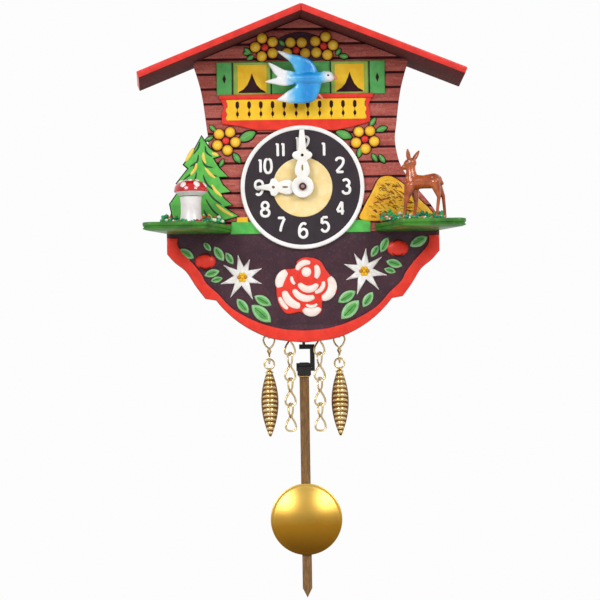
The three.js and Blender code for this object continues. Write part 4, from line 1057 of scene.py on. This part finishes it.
def shelf(side, name, node):
    """A moulded shelf: rolled top edge, grooved face and an underside that rises to the rim."""
    (_, front, foot), (_, back, top) = drawn_box(node)
    plan = [(30, back), (41, front), (66, front), (68.6, front + 3), (58, back)]
    plan = anticlockwise(mirrored(plan, side))
    smooth = []
    reach = 1.6                     # from a corner to where its rounding starts
    for i, corner in enumerate(plan):
        here, before, after = Vector(corner), Vector(plan[i - 1]), Vector(plan[(i + 1) % len(plan)])
        a = here + (before - here).normalized() * reach
        b = here + (after - here).normalized() * reach
        smooth.extend([tuple(a.lerp(here, t).lerp(here.lerp(b, t), t)) for t in (0, 0.25, 0.5, 0.75, 1)])
    levels = [(top - 0.25, 1.1), (top, 0.55), (top - 0.12, 0.18), (top - 0.5, 0.0), (top - 1.5, 0.12),
              (top - 1.9, 0.55), (top - 2.2, 0.55), (top - 2.5, 0.15), (top - 2.9, 0.2), (foot, 1.6)]
    board = Sculpt()
    board.loft([[(x, y, z) for x, y in inset(smooth, d)] for z, d in levels], SHELF_GREEN)
    board.piece(name, "case", "shelf_plastic", [node])


FLOCKS = [glossy("flock_" + shade, light, dark, roughness, coat) for shade, light, dark, roughness, coat in (
    ("green", "45c06a", "23894a", 0.6, 0.0), ("teal", "35b592", "1b8068", 0.6, 0.0),
    ("pale", "f6fbe8", "d2e8b8", 0.6, 0.0), ("orange", "e8863c", "c9612a", 0.55, 0.0),
    ("red", "e2494a", "c22f36", 0.5, 0.1))]
FLOCK_SHARES = (0.4, 0.66, 0.83, 0.94)


def grass(seed, name, node, clear_place, clear_radius):
    """Flock: tufts of blades and crumbs, thick at the back and thin round the figures' feet."""
    rng = random.Random(seed)
    (left, front, ground), (right, back, _) = drawn_box(node)
    flock = Sculpt()

    def across():
        return rng.uniform(left + 1, right - 1)

    def crumb(x, y, size, stack):
        pick = rng.random()
        material = FLOCKS[sum(pick >= share for share in FLOCK_SHARES)]
        flock.blob((x, y, ground + stack + size * 0.5), (size, size, size * 0.85), material, 4, 7, 0.28, rng)

    for _ in range(230):
        x, y = across(), rng.uniform(front, back)
        tall = 1.6 + 3.0 * abs(math.sin((x - left) * 0.42)) * rng.random()
        crumb(x, y, rng.uniform(0.5, 1.15), tall * rng.random())
    for _ in range(120):
        x, y = across(), rng.uniform(-56, front)
        if math.dist((x, y), clear_place) > clear_radius:
            crumb(x, y, rng.uniform(0.35, 0.8), 0.4 * rng.random())
    for _ in range(130):
        x, y = across(), rng.uniform(front - 2, back)
        lean, tall = rng.uniform(-0.9, 0.9), rng.uniform(1.4, 3.2)
        blade = [(x, y, ground), (x + lean * 0.3, y, ground + tall * 0.6), (x + lean, y, ground + tall)]
        flock.tube(blade, [0.22, 0.17, 0.03], FLOCKS[rng.choice((0, 0, 1))], 5)
    flock.piece(name, "case", "grass_flock", [node], 60)


CAP_LOW, CAP_HIGH = drawn_box("mushroom_cap")
MUSHROOM = tuple(middle(CAP_LOW, CAP_HIGH)[:2])


def mushroom():
    ground = drawn_box("mushroom_stem")[0][2]
    rim, crown = CAP_LOW[2], CAP_HIGH[2]
    centre = (*MUSHROOM, 0.0)
    stem = Sculpt()
    stem.lathe([(0, ground), (4.5, ground), (4.95, ground + 0.5), (4.7, ground + 1.6), (4.35, ground + 3.6),
                (4.3, rim - 3.4), (4.45, rim - 1.5), (4.6, rim - 0.4), (0, rim - 0.35)], centre,
               STEM_WHITE, "z", 40)
    gills = [(0, rim + 0.1), (4.8, rim - 0.05), (5.4, rim + 0.5), (6.5, rim + 1.3), (6.9, rim + 1.75),
             (6.6, rim + 2.1), (0, rim + 2.1)]
    stem.lathe(gills, centre, STEM_WHITE, "z", 48)
    stem.piece("mushroom_foot", "case", "mushroom_white", ["mushroom_stem"])
    cap = Sculpt()
    wide, brim = 7.1, rim + 2.6
    tall = crown - brim
    profile = [(0, rim + 1.9), (6.6, rim + 1.7), (7.05, rim + 1.75), (7.2, rim + 2.1), (wide, brim)]
    for step in range(1, 10):
        angle = math.pi / 2 * step / 9
        profile.append((wide * math.cos(angle) ** 0.85, brim + tall * math.sin(angle)))
    cap.lathe(profile, centre, CAP_RED, "z", 56)
    dots = [(-120, 0.30, 1.45), (-66, 0.34, 1.6), (-20, 0.3, 1.2), (-92, 0.75, 1.1), (-35, 0.72, 1.0),
            (20, 0.45, 1.4), (70, 0.3, 1.3), (110, 0.6, 1.2), (155, 0.35, 1.5), (200, 0.6, 1.1),
            (0, 1.0, 0.9)]
    for turn, lift, size in dots:
        tilt = math.pi / 2 * lift
        a = math.radians(turn)
        radius = wide * math.cos(tilt) ** 0.85 if lift < 1 else 0.0
        at = Vector((MUSHROOM[0] + radius * math.cos(a), MUSHROOM[1] + radius * math.sin(a),
                     brim + tall * math.sin(tilt)))
        out = Vector((math.cos(a) * math.cos(tilt) / wide, math.sin(a) * math.cos(tilt) / wide,
                      math.sin(tilt) / tall)).normalized()
        along = out.cross(Vector((0, 0, 1)) if lift < 1 else Vector((1, 0, 0))).normalized()
        upward = out.cross(along)
        edge = [size * (math.cos(t) * along * 0.85 + math.sin(t) * upward) for t in turns(18)]
        levels = [(1, -0.5), (1, 0.0), (0.86, 0.2), (0.5, 0.32), (0.1, 0.36)]
        cap.loft([[tuple(at + out * rise + scale * point) for point in edge] for scale, rise in levels],
                 STEM_WHITE)
    cap.piece("mushroom_hat", "case", "mushroom_red", ["mushroom_cap"])


def deer():
    """A standing fawn with its head up, facing the dial."""
    low, high = drawn_box("deer")
    y = middle(low, high)[1]
    foot = low[2] + 0.55

    def at(x, z, aside=0.0):
        return (x, y + aside, z)

    body = Sculpt()
    limbs = [
        (at(46.4, 0.2), at(50.6, 0.2), 3.3, 2.9), (at(50.6, 0.2), at(55.2, 0.6), 2.9, 3.3),
        (at(54.6, 1.0), at(56.6, 1.0), 2.7, 2.2), (at(46, 1.0), at(45.6, 4.8), 3.0, 2.1),
        (at(45.6, 4.4), at(45.6, 8), 2.1, 1.9), (at(45.8, 8.4), at(44.6, 7.9), 2.3, 2.05),
        (at(44.6, 7.6), at(42.7, 6.5), 1.75, 1.15), (at(57.4, 1.8), at(59.0, -0.6), 0.9, 0.55)]
    legs = [(-1, (44.9, -1.4), (43.2, -8.6), 42.5), (1, (46.8, -1.4), (47.7, -8.2), 46.8),
            (-1, (55.6, -0.2), (57.2, -6.2), 56.2), (1, (56.2, -0.2), (59.2, -6.0), 59.9)]
    for side, hip, knee, foot_x in legs:
        out = side * 1.9
        limbs.append((at(*hip, side * 1.3), at(*knee, side * 1.75), 2.4, 0.9))
        limbs.append((at(*knee, side * 1.75), at(foot_x, foot + 1.0, out), 0.84, 0.6))
        limbs.append((at(foot_x, foot + 0.9, out), at(foot_x - 0.4, foot + 0.1, out), 0.7, 0.72))
    for limb in limbs:
        body.limb(*limb, DEER)
    for side, base, tip in [(-1, (44.8, 9.4), (44.2, 14.2)), (1, (46.5, 9.2), (49.4, 13.8))]:
        start, end = Vector(at(*base, side * 1.1)), Vector(at(*tip, side * 2.4))
        path = [start.lerp(end, i / 6) for i in range(7)]
        body.tube(path, [0.65, 0.9, 1.0, 0.98, 0.84, 0.6, 0.3], DEER, 10)
    fused(body.piece("fawn", "case", "deer_plastic", ["deer"]), 0.26, 3)
    details = Sculpt()
    for side in (-1, 1):
        details.blob(at(44.3, 8.8, side * 1.85), (0.38, 0.3, 0.42), EYE_DARK, 6, 10)
    details.blob(at(41.85, 6.4), (0.45, 0.55, 0.45), HOOF, 6, 10)
    details.piece("fawn_eyes_and_nose", "case", "deer_plastic")


for side, word in ((-1, "left"), (1, "right")):
    shelf(side, "shelf_moulding_" + word, "shelf_" + word)
grass(5, "flock_grass_left", "grass_left", MUSHROOM, 5.4)
grass(6, "flock_grass_right", "grass_right", (60, -47), 0.0)
mushroom()
deer()


# ---- dial, numerals and hands ----

DIAL_LOW, DIAL_HIGH = drawn_box("dial")
DIAL_RADIUS = DIAL_HIGH[0]
DIAL_BACK, DIAL_FACE = DIAL_HIGH[1], DIAL_LOW[1]


def dial():
    """A dark face between a white rim and a cream heart, with a hole for the arbors."""
    thick = DIAL_BACK - DIAL_FACE
    hole = 2.5
    field = 24.6                    # radius of the dark field
    parts = [
        ([(hole, 0.02), (field + 0.4, 0.02), (field + 0.4, thick - 0.3), (hole, thick - 0.3)], DIAL_DARK, 96),
        ([(field, 0), (DIAL_RADIUS, 0), (DIAL_RADIUS, thick - 0.5), (DIAL_RADIUS - 0.2, thick - 0.15),
          (DIAL_RADIUS - 0.6, thick), (field + 0.4, thick - 0.02), (field, thick - 0.3)], DIAL_WHITE, 96),
        ([(hole, 0.1), (12.7, 0.1), (12.7, thick - 0.25), (12.4, thick - 0.1), (11.8, thick - 0.16),
          (hole + 0.6, thick - 0.3), (hole, thick - 0.4)], DIAL_CREAM, 72)]
    plate = Sculpt()
    for profile, material, sides in parts:
        plate.lathe(profile, (0, DIAL_BACK, 0), material, "y", sides, True)
    plate.piece("dial_face", "case", "dial_plastic", ["dial"])


# Each numeral is a few strokes drawn in a box from -1 to 1 both ways.
SIX = [(0.78, 0.78), (0.35, 0.99), (-0.3, 0.92), (-0.82, 0.45), (-1, -0.25), (-0.78, -0.78), (0, -1),
       (0.78, -0.78), (0.95, -0.36), (0.72, 0.04), (0.05, 0.2), (-0.62, -0.02), (-0.92, -0.36)]



def looped(right):
    """A closed curve through the points of its right half, which starts and ends on the middle line."""
    return catmull(both_sides(right) + right[:1], 5)


STROKES = {
    "0": [looped([(0, 1), (0.72, 0.78), (1, 0.1), (0.95, -0.45), (0.6, -0.88), (0, -1)])],
    "1": [[(0.1, 1), (0.1, -1)], [(-0.42, 0.66), (0.05, 0.92)]],
    "2": [catmull([(-0.92, 0.5), (-0.72, 0.86), (0, 1), (0.74, 0.84), (0.9, 0.42), (0.5, -0.1),
                   (-0.3, -0.58), (-0.95, -1)], 5), [(-0.95, -1), (1, -1)]],
    "3": [catmull([(-0.8, 0.72), (-0.35, 0.97), (0.3, 0.96), (0.82, 0.62), (0.62, 0.2), (-0.1, 0.08)], 5),
          catmull([(-0.1, 0.08), (0.7, -0.04), (1, -0.45), (0.7, -0.88), (0, -1), (-0.65, -0.86),
                   (-0.92, -0.52)], 5)],
    "4": [[(0.42, 1), (-0.95, -0.42)], [(-0.95, -0.42), (1, -0.42)], [(0.42, 1), (0.42, -1)]],
    "5": [[(0.82, 1), (-0.66, 1)], [(-0.66, 1), (-0.8, 0.06)],
          catmull([(-0.8, 0.06), (-0.2, 0.3), (0.5, 0.24), (0.95, -0.22), (0.86, -0.66), (0.3, -0.98),
                   (-0.4, -0.96), (-0.92, -0.58)], 5)],
    "6": [catmull(SIX, 5)],
    "7": [[(-0.95, 1), (0.92, 1)], catmull([(0.92, 1), (0.25, 0.2), (-0.1, -0.4), (-0.24, -1)], 5)],
    "8": [looped([(0, 0.04), (0.68, 0.26), (0.78, 0.6), (0.45, 0.93), (0, 1)]),
          looped([(0, 0.04), (0.78, -0.16), (1, -0.52), (0.66, -0.9), (0, -1)])],
    "9": [catmull([(-x, -z) for x, z in SIX], 5)],
}


def numerals():
    figures = Sculpt()
    tall = 3.0
    spacing = {10: [-1.85, 1.5], 11: [-1.2, 1.2], 12: [-1.85, 1.5]}
    for hour in range(1, 13):
        angle = math.radians(90 - 30 * hour)
        cx, cz = 18.5 * math.cos(angle), 18.5 * math.sin(angle)
        wide = 1.7 if hour < 10 else 1.45
        for digit, offset in zip(str(hour), spacing.get(hour, [0.0])):
            for stroke in STROKES[digit]:
                fine = stroke
                if len(stroke) == 2:
                    fine = [tuple(a + (b - a) * i / 14 for a, b in zip(*stroke)) for i in range(15)]
                path = [(cx + offset + x * wide, cz + z * tall) for x, z in fine]
                figures.round_stroke(path, 0.6, DIAL_FACE + 0.5, 0.42, DIAL_WHITE)
    figures.piece("dial_numerals", "case", "dial_plastic")


def hand(word, edge, lobe, slit, turn, hole):
    """A carved hand: pierced blade with a cross lobe, and a round boss."""
    node = word + "_hand"
    name = node + "_carved"
    back = drawn_box(node)[1][1]
    thick = 0.8
    front = back - thick
    boss = 4.7
    along = [(0.0, 0.9), (1.2, 2.0)] + catmull(edge[:-1], 4) + [edge[-1]]
    outline = anticlockwise(both_sides([(half, distance) for distance, half in along]))

    def turned(outline, y):
        c, s = math.cos(turn), math.sin(turn)
        return [(x * c - z * s, y, x * s + z * c) for x, z in outline]

    blade = Sculpt()
    levels = [(0.0, back), (0.0, front + 0.3), (0.09, front + 0.1), (0.26, front)]
    blade.loft([turned(inset(outline, d), y) for d, y in levels], HAND_WHITE)
    holes = Sculpt()
    for shape in (oval((0, lobe), 0.62, 0.62, 16), oval((0, slit), 0.42, 1.344, 16), circle((0, 0), 3.9, 32)):
        holes.loft([turned(shape, y) for y in (back + 1, front - 1)], GROOVE)
    cut(blade.piece(name, word, "hand_plastic", [node]), holes)
    ring = Sculpt()
    profile = [(hole, 0), (boss - 0.05, 0), (boss, 0.3), (boss - 0.1, thick - 0.12),
               (boss - 0.5, thick + 0.02), (3.6, thick + 0.05), (2.9, thick - 0.1),
               (hole + 0.25, thick - 0.15), (hole, thick - 0.3)]
    ring.lathe(profile, (0, back, 0), HAND_WHITE, "y", 56, True)
    ring.piece(name + "_boss", word, "hand_plastic")


# Half widths of the blades, each after its distance from the arbor.
MINUTE_EDGE = [(4.2, 2.2), (5.6, 3.1), (7.4, 3.2), (9.6, 2.6), (11.2, 2.2), (12.1, 3.6), (13.4, 4.3),
               (14.7, 3.6), (15.4, 2.0), (17, 1.7), (20.5, 1.4), (24.2, 1.0), (24.3, 0.8)]
HOUR_EDGE = [(4.2, 2.2), (5.4, 3.0), (7.2, 3.1), (9.2, 2.5), (10.3, 2.3), (11.1, 3.3), (12.3, 3.8),
             (13.5, 3.2), (14.1, 1.6), (16, 1.2), (18, 0.8), (19.5, 0.4), (19.6, 0.25)]


def hand_nut():
    low, high = drawn_box("hand_nut")
    nut = Sculpt()
    tall = high[1] - low[1]
    nut.lathe([(0.85, 0), (1.55, 0), (1.6, 0.25), (1.5, tall * 0.7), (1.2, tall), (0.85, tall)],
              (0, high[1], 0), NUT_BRONZE, "y", 24, True)
    nut.piece("hand_nut_domed", "minute", "movement_brass", ["hand_nut"])


dial()
numerals()
hand("minute", MINUTE_EDGE, 13.4, 8.0, 0.0, 1.5)
hand("hour", HOUR_EDGE, 12.4, 7.4, math.pi / 2, 2.15)
hand_nut()


# ---- bird ----

def bird():
    """A flying bird: two wings and a forked tail melted into its body, beak, eyes and a foot."""
    y = -38.0
    body = Sculpt()

    def pillow(corners, thick):
        outline = anticlockwise(catmull(corners, 3, True))
        cx, cz = (sum(values) / len(outline) for values in zip(*outline))
        body.loft([[(cx + (x - cx) * share, y + thick * offset, cz + (z - cz) * share) for x, z in outline]
                   for share, offset in ((0.5, 1), (0.8, 0.88), (0.95, 0.5), (1, 0), (0.95, -0.5),
                                         (0.8, -0.88), (0.5, -1))], BIRD)

    for start, end, r1, r2 in [((-4.2, 45.7), (2.4, 45.6), 1.9, 2.9), ((2.4, 45.6), (7.4, 45.8), 2.9, 2.6),
                               ((7.4, 45.8), (11.4, 46.4), 2.5, 2.35), ((9.8, 46.6), (12.2, 46.0), 2.3, 1.9)]:
        body.limb((start[0], y, start[1]), (end[0], y, end[1]), r1, r2, BIRD)
    wings = [
        [(-1.6, 47.0), (-4.4, 52.4), (-7.6, 55.2), (-10.2, 57.6), (-8.2, 57.6), (-4.8, 56.4), (-1, 55.6),
         (2.4, 54.5), (4.6, 53.2), (6.1, 51.3), (7.0, 48.9), (7.2, 45.4), (1, 44.6)],
        [(-1, 46.4), (-2.6, 42.6), (-6.0, 40.4), (-8.8, 38.2), (-10.8, 36.6), (-8.6, 35.9), (-3.4, 35.1),
         (1.8, 35.1), (5.4, 36.1), (7.2, 38.6), (8.2, 41.6), (8.4, 45.4), (3, 47)]]
    tails = [
        [(-2.4, 43.6), (-1.2, 46.8), (-3.4, 48.8), (-7.2, 49.6), (-10.6, 51.4), (-14, 52.9), (-12.6, 49.8),
         (-10.8, 47.2), (-8, 45.2)],
        [(-2.4, 43.6), (-1.4, 46.4), (-6, 47.0), (-10.6, 46.2), (-15.6, 44.6), (-12, 43.5), (-7, 42.6)]]
    for corners in wings:
        pillow(corners, 1.35)
    for corners in tails:
        pillow(corners, 1.1)
    fused(body.piece("bird_body", "anchor_rocker", "bird_plastic", ["bird"]), 0.3, 5)
    details = Sculpt()
    beak = [(13.0, y, 46.4), (14.2, y, 46.0), (15.0, y, 45.4), (15.4, y, 44.9)]
    details.tube(beak, [1.25, 0.95, 0.55, 0.12], BEAK, 12)
    for side in (-1, 1):
        details.blob((11.4, y + side * 2.05, 46.7), (0.62, 0.4, 0.5), EYE_DARK, 6, 12)
    details.limb((7.6, y - 0.6, 38.6), (8.9, y - 0.8, 37.0), 0.5, 0.35, BEAK)
    details.piece("bird_beak_and_eyes", "anchor_rocker", "bird_plastic")


# ---- pendulum ----

def bob():
    """Dished brass disc with a rolled rim, and the clasp that grips the rod."""
    low, high = drawn_box("bob")
    radius = high[0]
    centre = middle(low, high)[2]
    dome = 3.2
    rod_low, rod_high = drawn_box("pendulum_rod")
    face = rod_low[1] - 0.68
    inside = radius - 0.8
    rim = [(radius - 0.45, -0.42), (radius - 0.12, -0.25), (radius, 0.1), (radius - 0.12, 0.42),
           (radius - 0.42, 0.56), (inside, 0.5)]
    outside = [(inside * (1 - k / 18), 0.4 + dome * (1 - (1 - k / 18) ** 2)) for k in range(1, 19)]
    disc = Sculpt()
    disc.lathe([(0, -0.4)] + rim + outside, (0, face, centre), BOB_BRASS, "y", 96)
    rod = rod_high[0] + 0.08
    near, far = face + 0.1, rod_high[1] + 0.08
    clasp = both_sides([(rod + 0.8, far + 0.57), (rod + 0.8, near), (rod, near), (rod, far)])
    disc.loft([[(x, y, centre + z) for x, y in clasp] for z in (-5, -4.7, 4.7, 5)], BOB_BRASS)
    disc.piece("bob_disc", "pendulum_bob", "bob_brass", ["bob"])


def rod_clasp():
    """The black block that joins the rod to its wire hook, with a brass line under it."""
    low, high = drawn_box("pendulum_rod")
    front, back, top = low[1] - 1.2, high[1] + 1.2, high[2]
    block = Sculpt()
    for half, z1, z2, material in ((2.9, top - 1.6, top + 2.4, BLACK), (2.1, top + 2.2, top + 4.0, BLACK),
                                   (2.5, top - 2.2, top - 1.6, GILT)):
        block.loft([[(x, y, z) for x, y in inset(rectangle(-half, half, front, back), d)]
                    for d, z in ((0.3, z1), (0.0, z1 + 0.3), (0.0, z2 - 0.3), (0.3, z2))], material)
    block.piece("rod_clasp", "pendulum", "black_metal")


bird()
bob()
rod_clasp()


# ---- chains, eyes and cones ----

WIRE = 0.42


def eye(node, turned):
    """A screw eye: an open ring closed on its shank, with a thread."""
    low, high = drawn_box(node)
    cx, cy, _ = middle(low, high)
    radius = 1.5
    cz = low[2] + WIRE + radius
    ring = Sculpt()
    path = arc((0, 0), radius, 100, 440, 28)
    ring.tube([(cx, cy + u, cz + v) if turned else (cx + u, cy, cz + v) for u, v in path], 0.4, GILT, 10)
    ring.tube([(cx, cy, cz + radius - 0.2), (cx, cy, high[2])], 0.45, GILT, 12)
    helix = arc((cx, cy), 0.45, 0, 4 * 360, 40)
    ring.tube([(x, y, high[2] - 1.9 + 1.7 * k / 40) for k, (x, y) in enumerate(helix)], 0.1, GILT, 5)
    ring.piece(node + "_wire", "case", "chain_gold", [node])


LINK_LENGTH = 7.0
LINK_PITCH = LINK_LENGTH - 3.8 * WIRE
LOOP_HALF = 2.4


def twisted_link(sculpt, x, y, top, length, face_on_first, aside):
    """A figure of eight in wire: two loops at right angles, crossing in the middle."""
    path = []
    for t in turns(44):
        down = (1 - math.cos(t)) / 2
        swing = math.sin(2 * t)
        spread = LOOP_HALF * math.copysign(abs(swing) ** 0.8, swing)
        share = min(max((down - 0.36) / 0.28, 0.0), 1.0)
        turn = aside + (math.pi / 2) * (share if face_on_first else 1 - share)
        apart = WIRE * 1.02 * math.sin(t) * math.exp(-((down - 0.5) / 0.16) ** 2)
        u = spread * math.cos(turn) - apart * math.sin(turn)
        v = spread * math.sin(turn) + apart * math.cos(turn)
        path.append((x + u, y + v, top - down * length))
    sculpt.tube(path, WIRE, GILT, 8, True)


def chain(node, name, body, loops, face_on_first, aside):
    """Double links, each as long as two of the plain ones that they stand for."""
    low, high = drawn_box(node)
    x, y, _ = middle(low, high)
    top = high[2] - WIRE
    links = Sculpt()
    length = 2 * LINK_PITCH + 3 * WIRE - 0.3
    for i in range(loops // 2):
        twisted_link(links, x, y, top - i * 2 * LINK_PITCH, length, face_on_first, aside)
    links.piece(name, body, "chain_gold", [node], 60)


def cone(node, name, body):
    """A gilt pine cone: rows of scales over a dark core, with a ring on top."""
    low, high = drawn_box(node)
    x, y, _ = middle(low, high)
    foot = low[2]
    length = 27.6
    ring_radius = 2.1

    def radius(share):
        return 4.2 * max(0.1, math.sin(math.pi * (0.02 + 0.9 * share)) ** 0.85)

    scales = Sculpt()
    core = [(radius(s / 24) * 0.88, length * s / 24) for s in range(25)]
    scales.lathe([(0.0, 0.0)] + core + [(0.0, length)], (x, y, foot), CONE_DARK, "z", 28)
    for face in (-1, 1):
        for row in range(14):
            share = (row + 0.7) / 14.2
            here = radius(share)
            path, radii = [], []
            for step in range(13):
                u = step / 6 - 1
                a = 0.95 * u
                path.append((x + here * 0.9 * math.sin(a), y + face * here * 0.9 * math.cos(a),
                             foot + length * share - 0.55 * u * u + 0.25))
                radii.append(max(0.12, 0.86 * math.cos(1.45 * u) ** 0.7))
            scales.tube(path, radii, CONE_LIGHT, 9)
    scales.lathe([(0, length - 0.6), (1.9, length - 0.4), (1.7, length + 0.1), (0.9, length + 0.5),
                      (0.5, length + 1.2), (0, length + 1.3)], (x, y, foot), CONE_LIGHT, "z", 20)
    ring_z = high[2] - WIRE - ring_radius
    loop = circle((x, ring_z), ring_radius, 32)
    scales.tube([(u, y, v) for u, v in loop], 0.4, CONE_LIGHT, 10, True)
    scales.tube([(x, y, foot + length - 0.5), (x, y, ring_z - ring_radius + 0.1)], 0.5, CONE_LIGHT, 10)
    scales.piece(name, body, "cone_gold", [node], 50)


SIDES = ("left", "right")
for kind, turned in (("weight_eye_", True), ("tail_eye_", False)):
    for word in SIDES:
        eye(kind + word, turned)
for word in SIDES:
    chain("weight_chain_" + word, "weight_chain_wire_" + word, f"weight_{word}_hanging", 4, True, 0.0)
    chain("tail_chain_" + word, "tail_chain_wire_" + word, f"tail_{word}_hanging", 10, False, 0.4)
for word in SIDES:
    cone("weight_" + word, "pine_cone_" + word, f"weight_{word}_hanging")


# ---- floor, light and camera ----

def stage():
    """A pale floor well below the clock, and a white world that is darker in front."""
    paint = Paint("floor_pale", 0.9)
    paint.colour(paint.ramp(paint.noise(3, 3), [(0.3, "dcdad8"), (0.7, "e2e0de")]))
    mesh = bpy.data.meshes.new("floor")
    size, level = 6.0, cad_box[0][2] - 0.09
    mesh.from_pydata([(x, y, level) for x, y in rectangle(-size, size, -size, size)], [], [(0, 1, 2, 3)])
    mesh.materials.append(paint.material)
    floor = bpy.data.objects.new("floor", mesh)
    bpy.context.scene.collection.objects.link(floor)
    world = bpy.data.worlds.new("studio")
    world.use_nodes = True
    tree = world.node_tree
    tree.nodes["Background"].inputs["Color"].default_value = (1, 1, 1, 1)
    direction = tree.nodes.new("ShaderNodeTexCoord").outputs["Generated"]
    split = tree.nodes.new("ShaderNodeSeparateXYZ")
    shade = tree.nodes.new("ShaderNodeMapRange")
    shade.interpolation_type = "SMOOTHSTEP"
    for socket, value in (("From Min", -0.5), ("From Max", 0.4), ("To Min", 0.5), ("To Max", 0.98)):
        shade.inputs[socket].default_value = value
    tree.links.new(direction, split.inputs[0])
    tree.links.new(split.outputs["Y"], shade.inputs["Value"])
    tree.links.new(shade.outputs["Result"], tree.nodes["Background"].inputs["Strength"])
    bpy.context.scene.world = world
    bpy.context.scene.view_settings.view_transform = "Standard"


def softbox(name, place, target, power):
    light = bpy.data.lights.new(name, "AREA")
    light.size = 0.5
    light.energy = power
    lamp = bpy.data.objects.new(name, light)
    lamp.location = place
    lamp.rotation_euler = (Vector(target) - Vector(place)).to_track_quat("-Z", "Y").to_euler()
    bpy.context.scene.collection.objects.link(lamp)


def camera():
    """Looks slightly up at the front, and leans a little, as one holds a camera by hand."""
    azimuth, elevation, roll = math.radians(-1.2), math.radians(-3.55), math.radians(-0.9)
    distance = 2.6
    view_height = 0.255             # metres that the picture spans at the target
    target = metres((-1.8, PANEL_FRONT, -48))
    away = Vector((math.sin(azimuth) * math.cos(elevation), -math.cos(azimuth) * math.cos(elevation),
                   math.sin(elevation)))
    lens = bpy.data.cameras.new("camera")
    lens.sensor_width = 36
    lens.angle = 2 * math.atan(0.5 * view_height / distance)
    view = bpy.data.objects.new("camera", lens)
    turn = (-away).to_track_quat("-Z", "Y").to_matrix().to_4x4()
    view.matrix_world = Matrix.Translation(target + away * distance) @ turn @ Matrix.Rotation(roll, 4, "Z")
    bpy.context.scene.collection.objects.link(view)
    bpy.context.scene.camera = view


stage()
heart = metres((0, PANEL_FRONT, -20))
softbox("left_softbox", heart + Vector((-0.75, -1.1, 0.62)), heart, 9.5)
softbox("right_softbox", heart + Vector((0.75, -1.1, 0.62)), heart, 8.0)
camera()
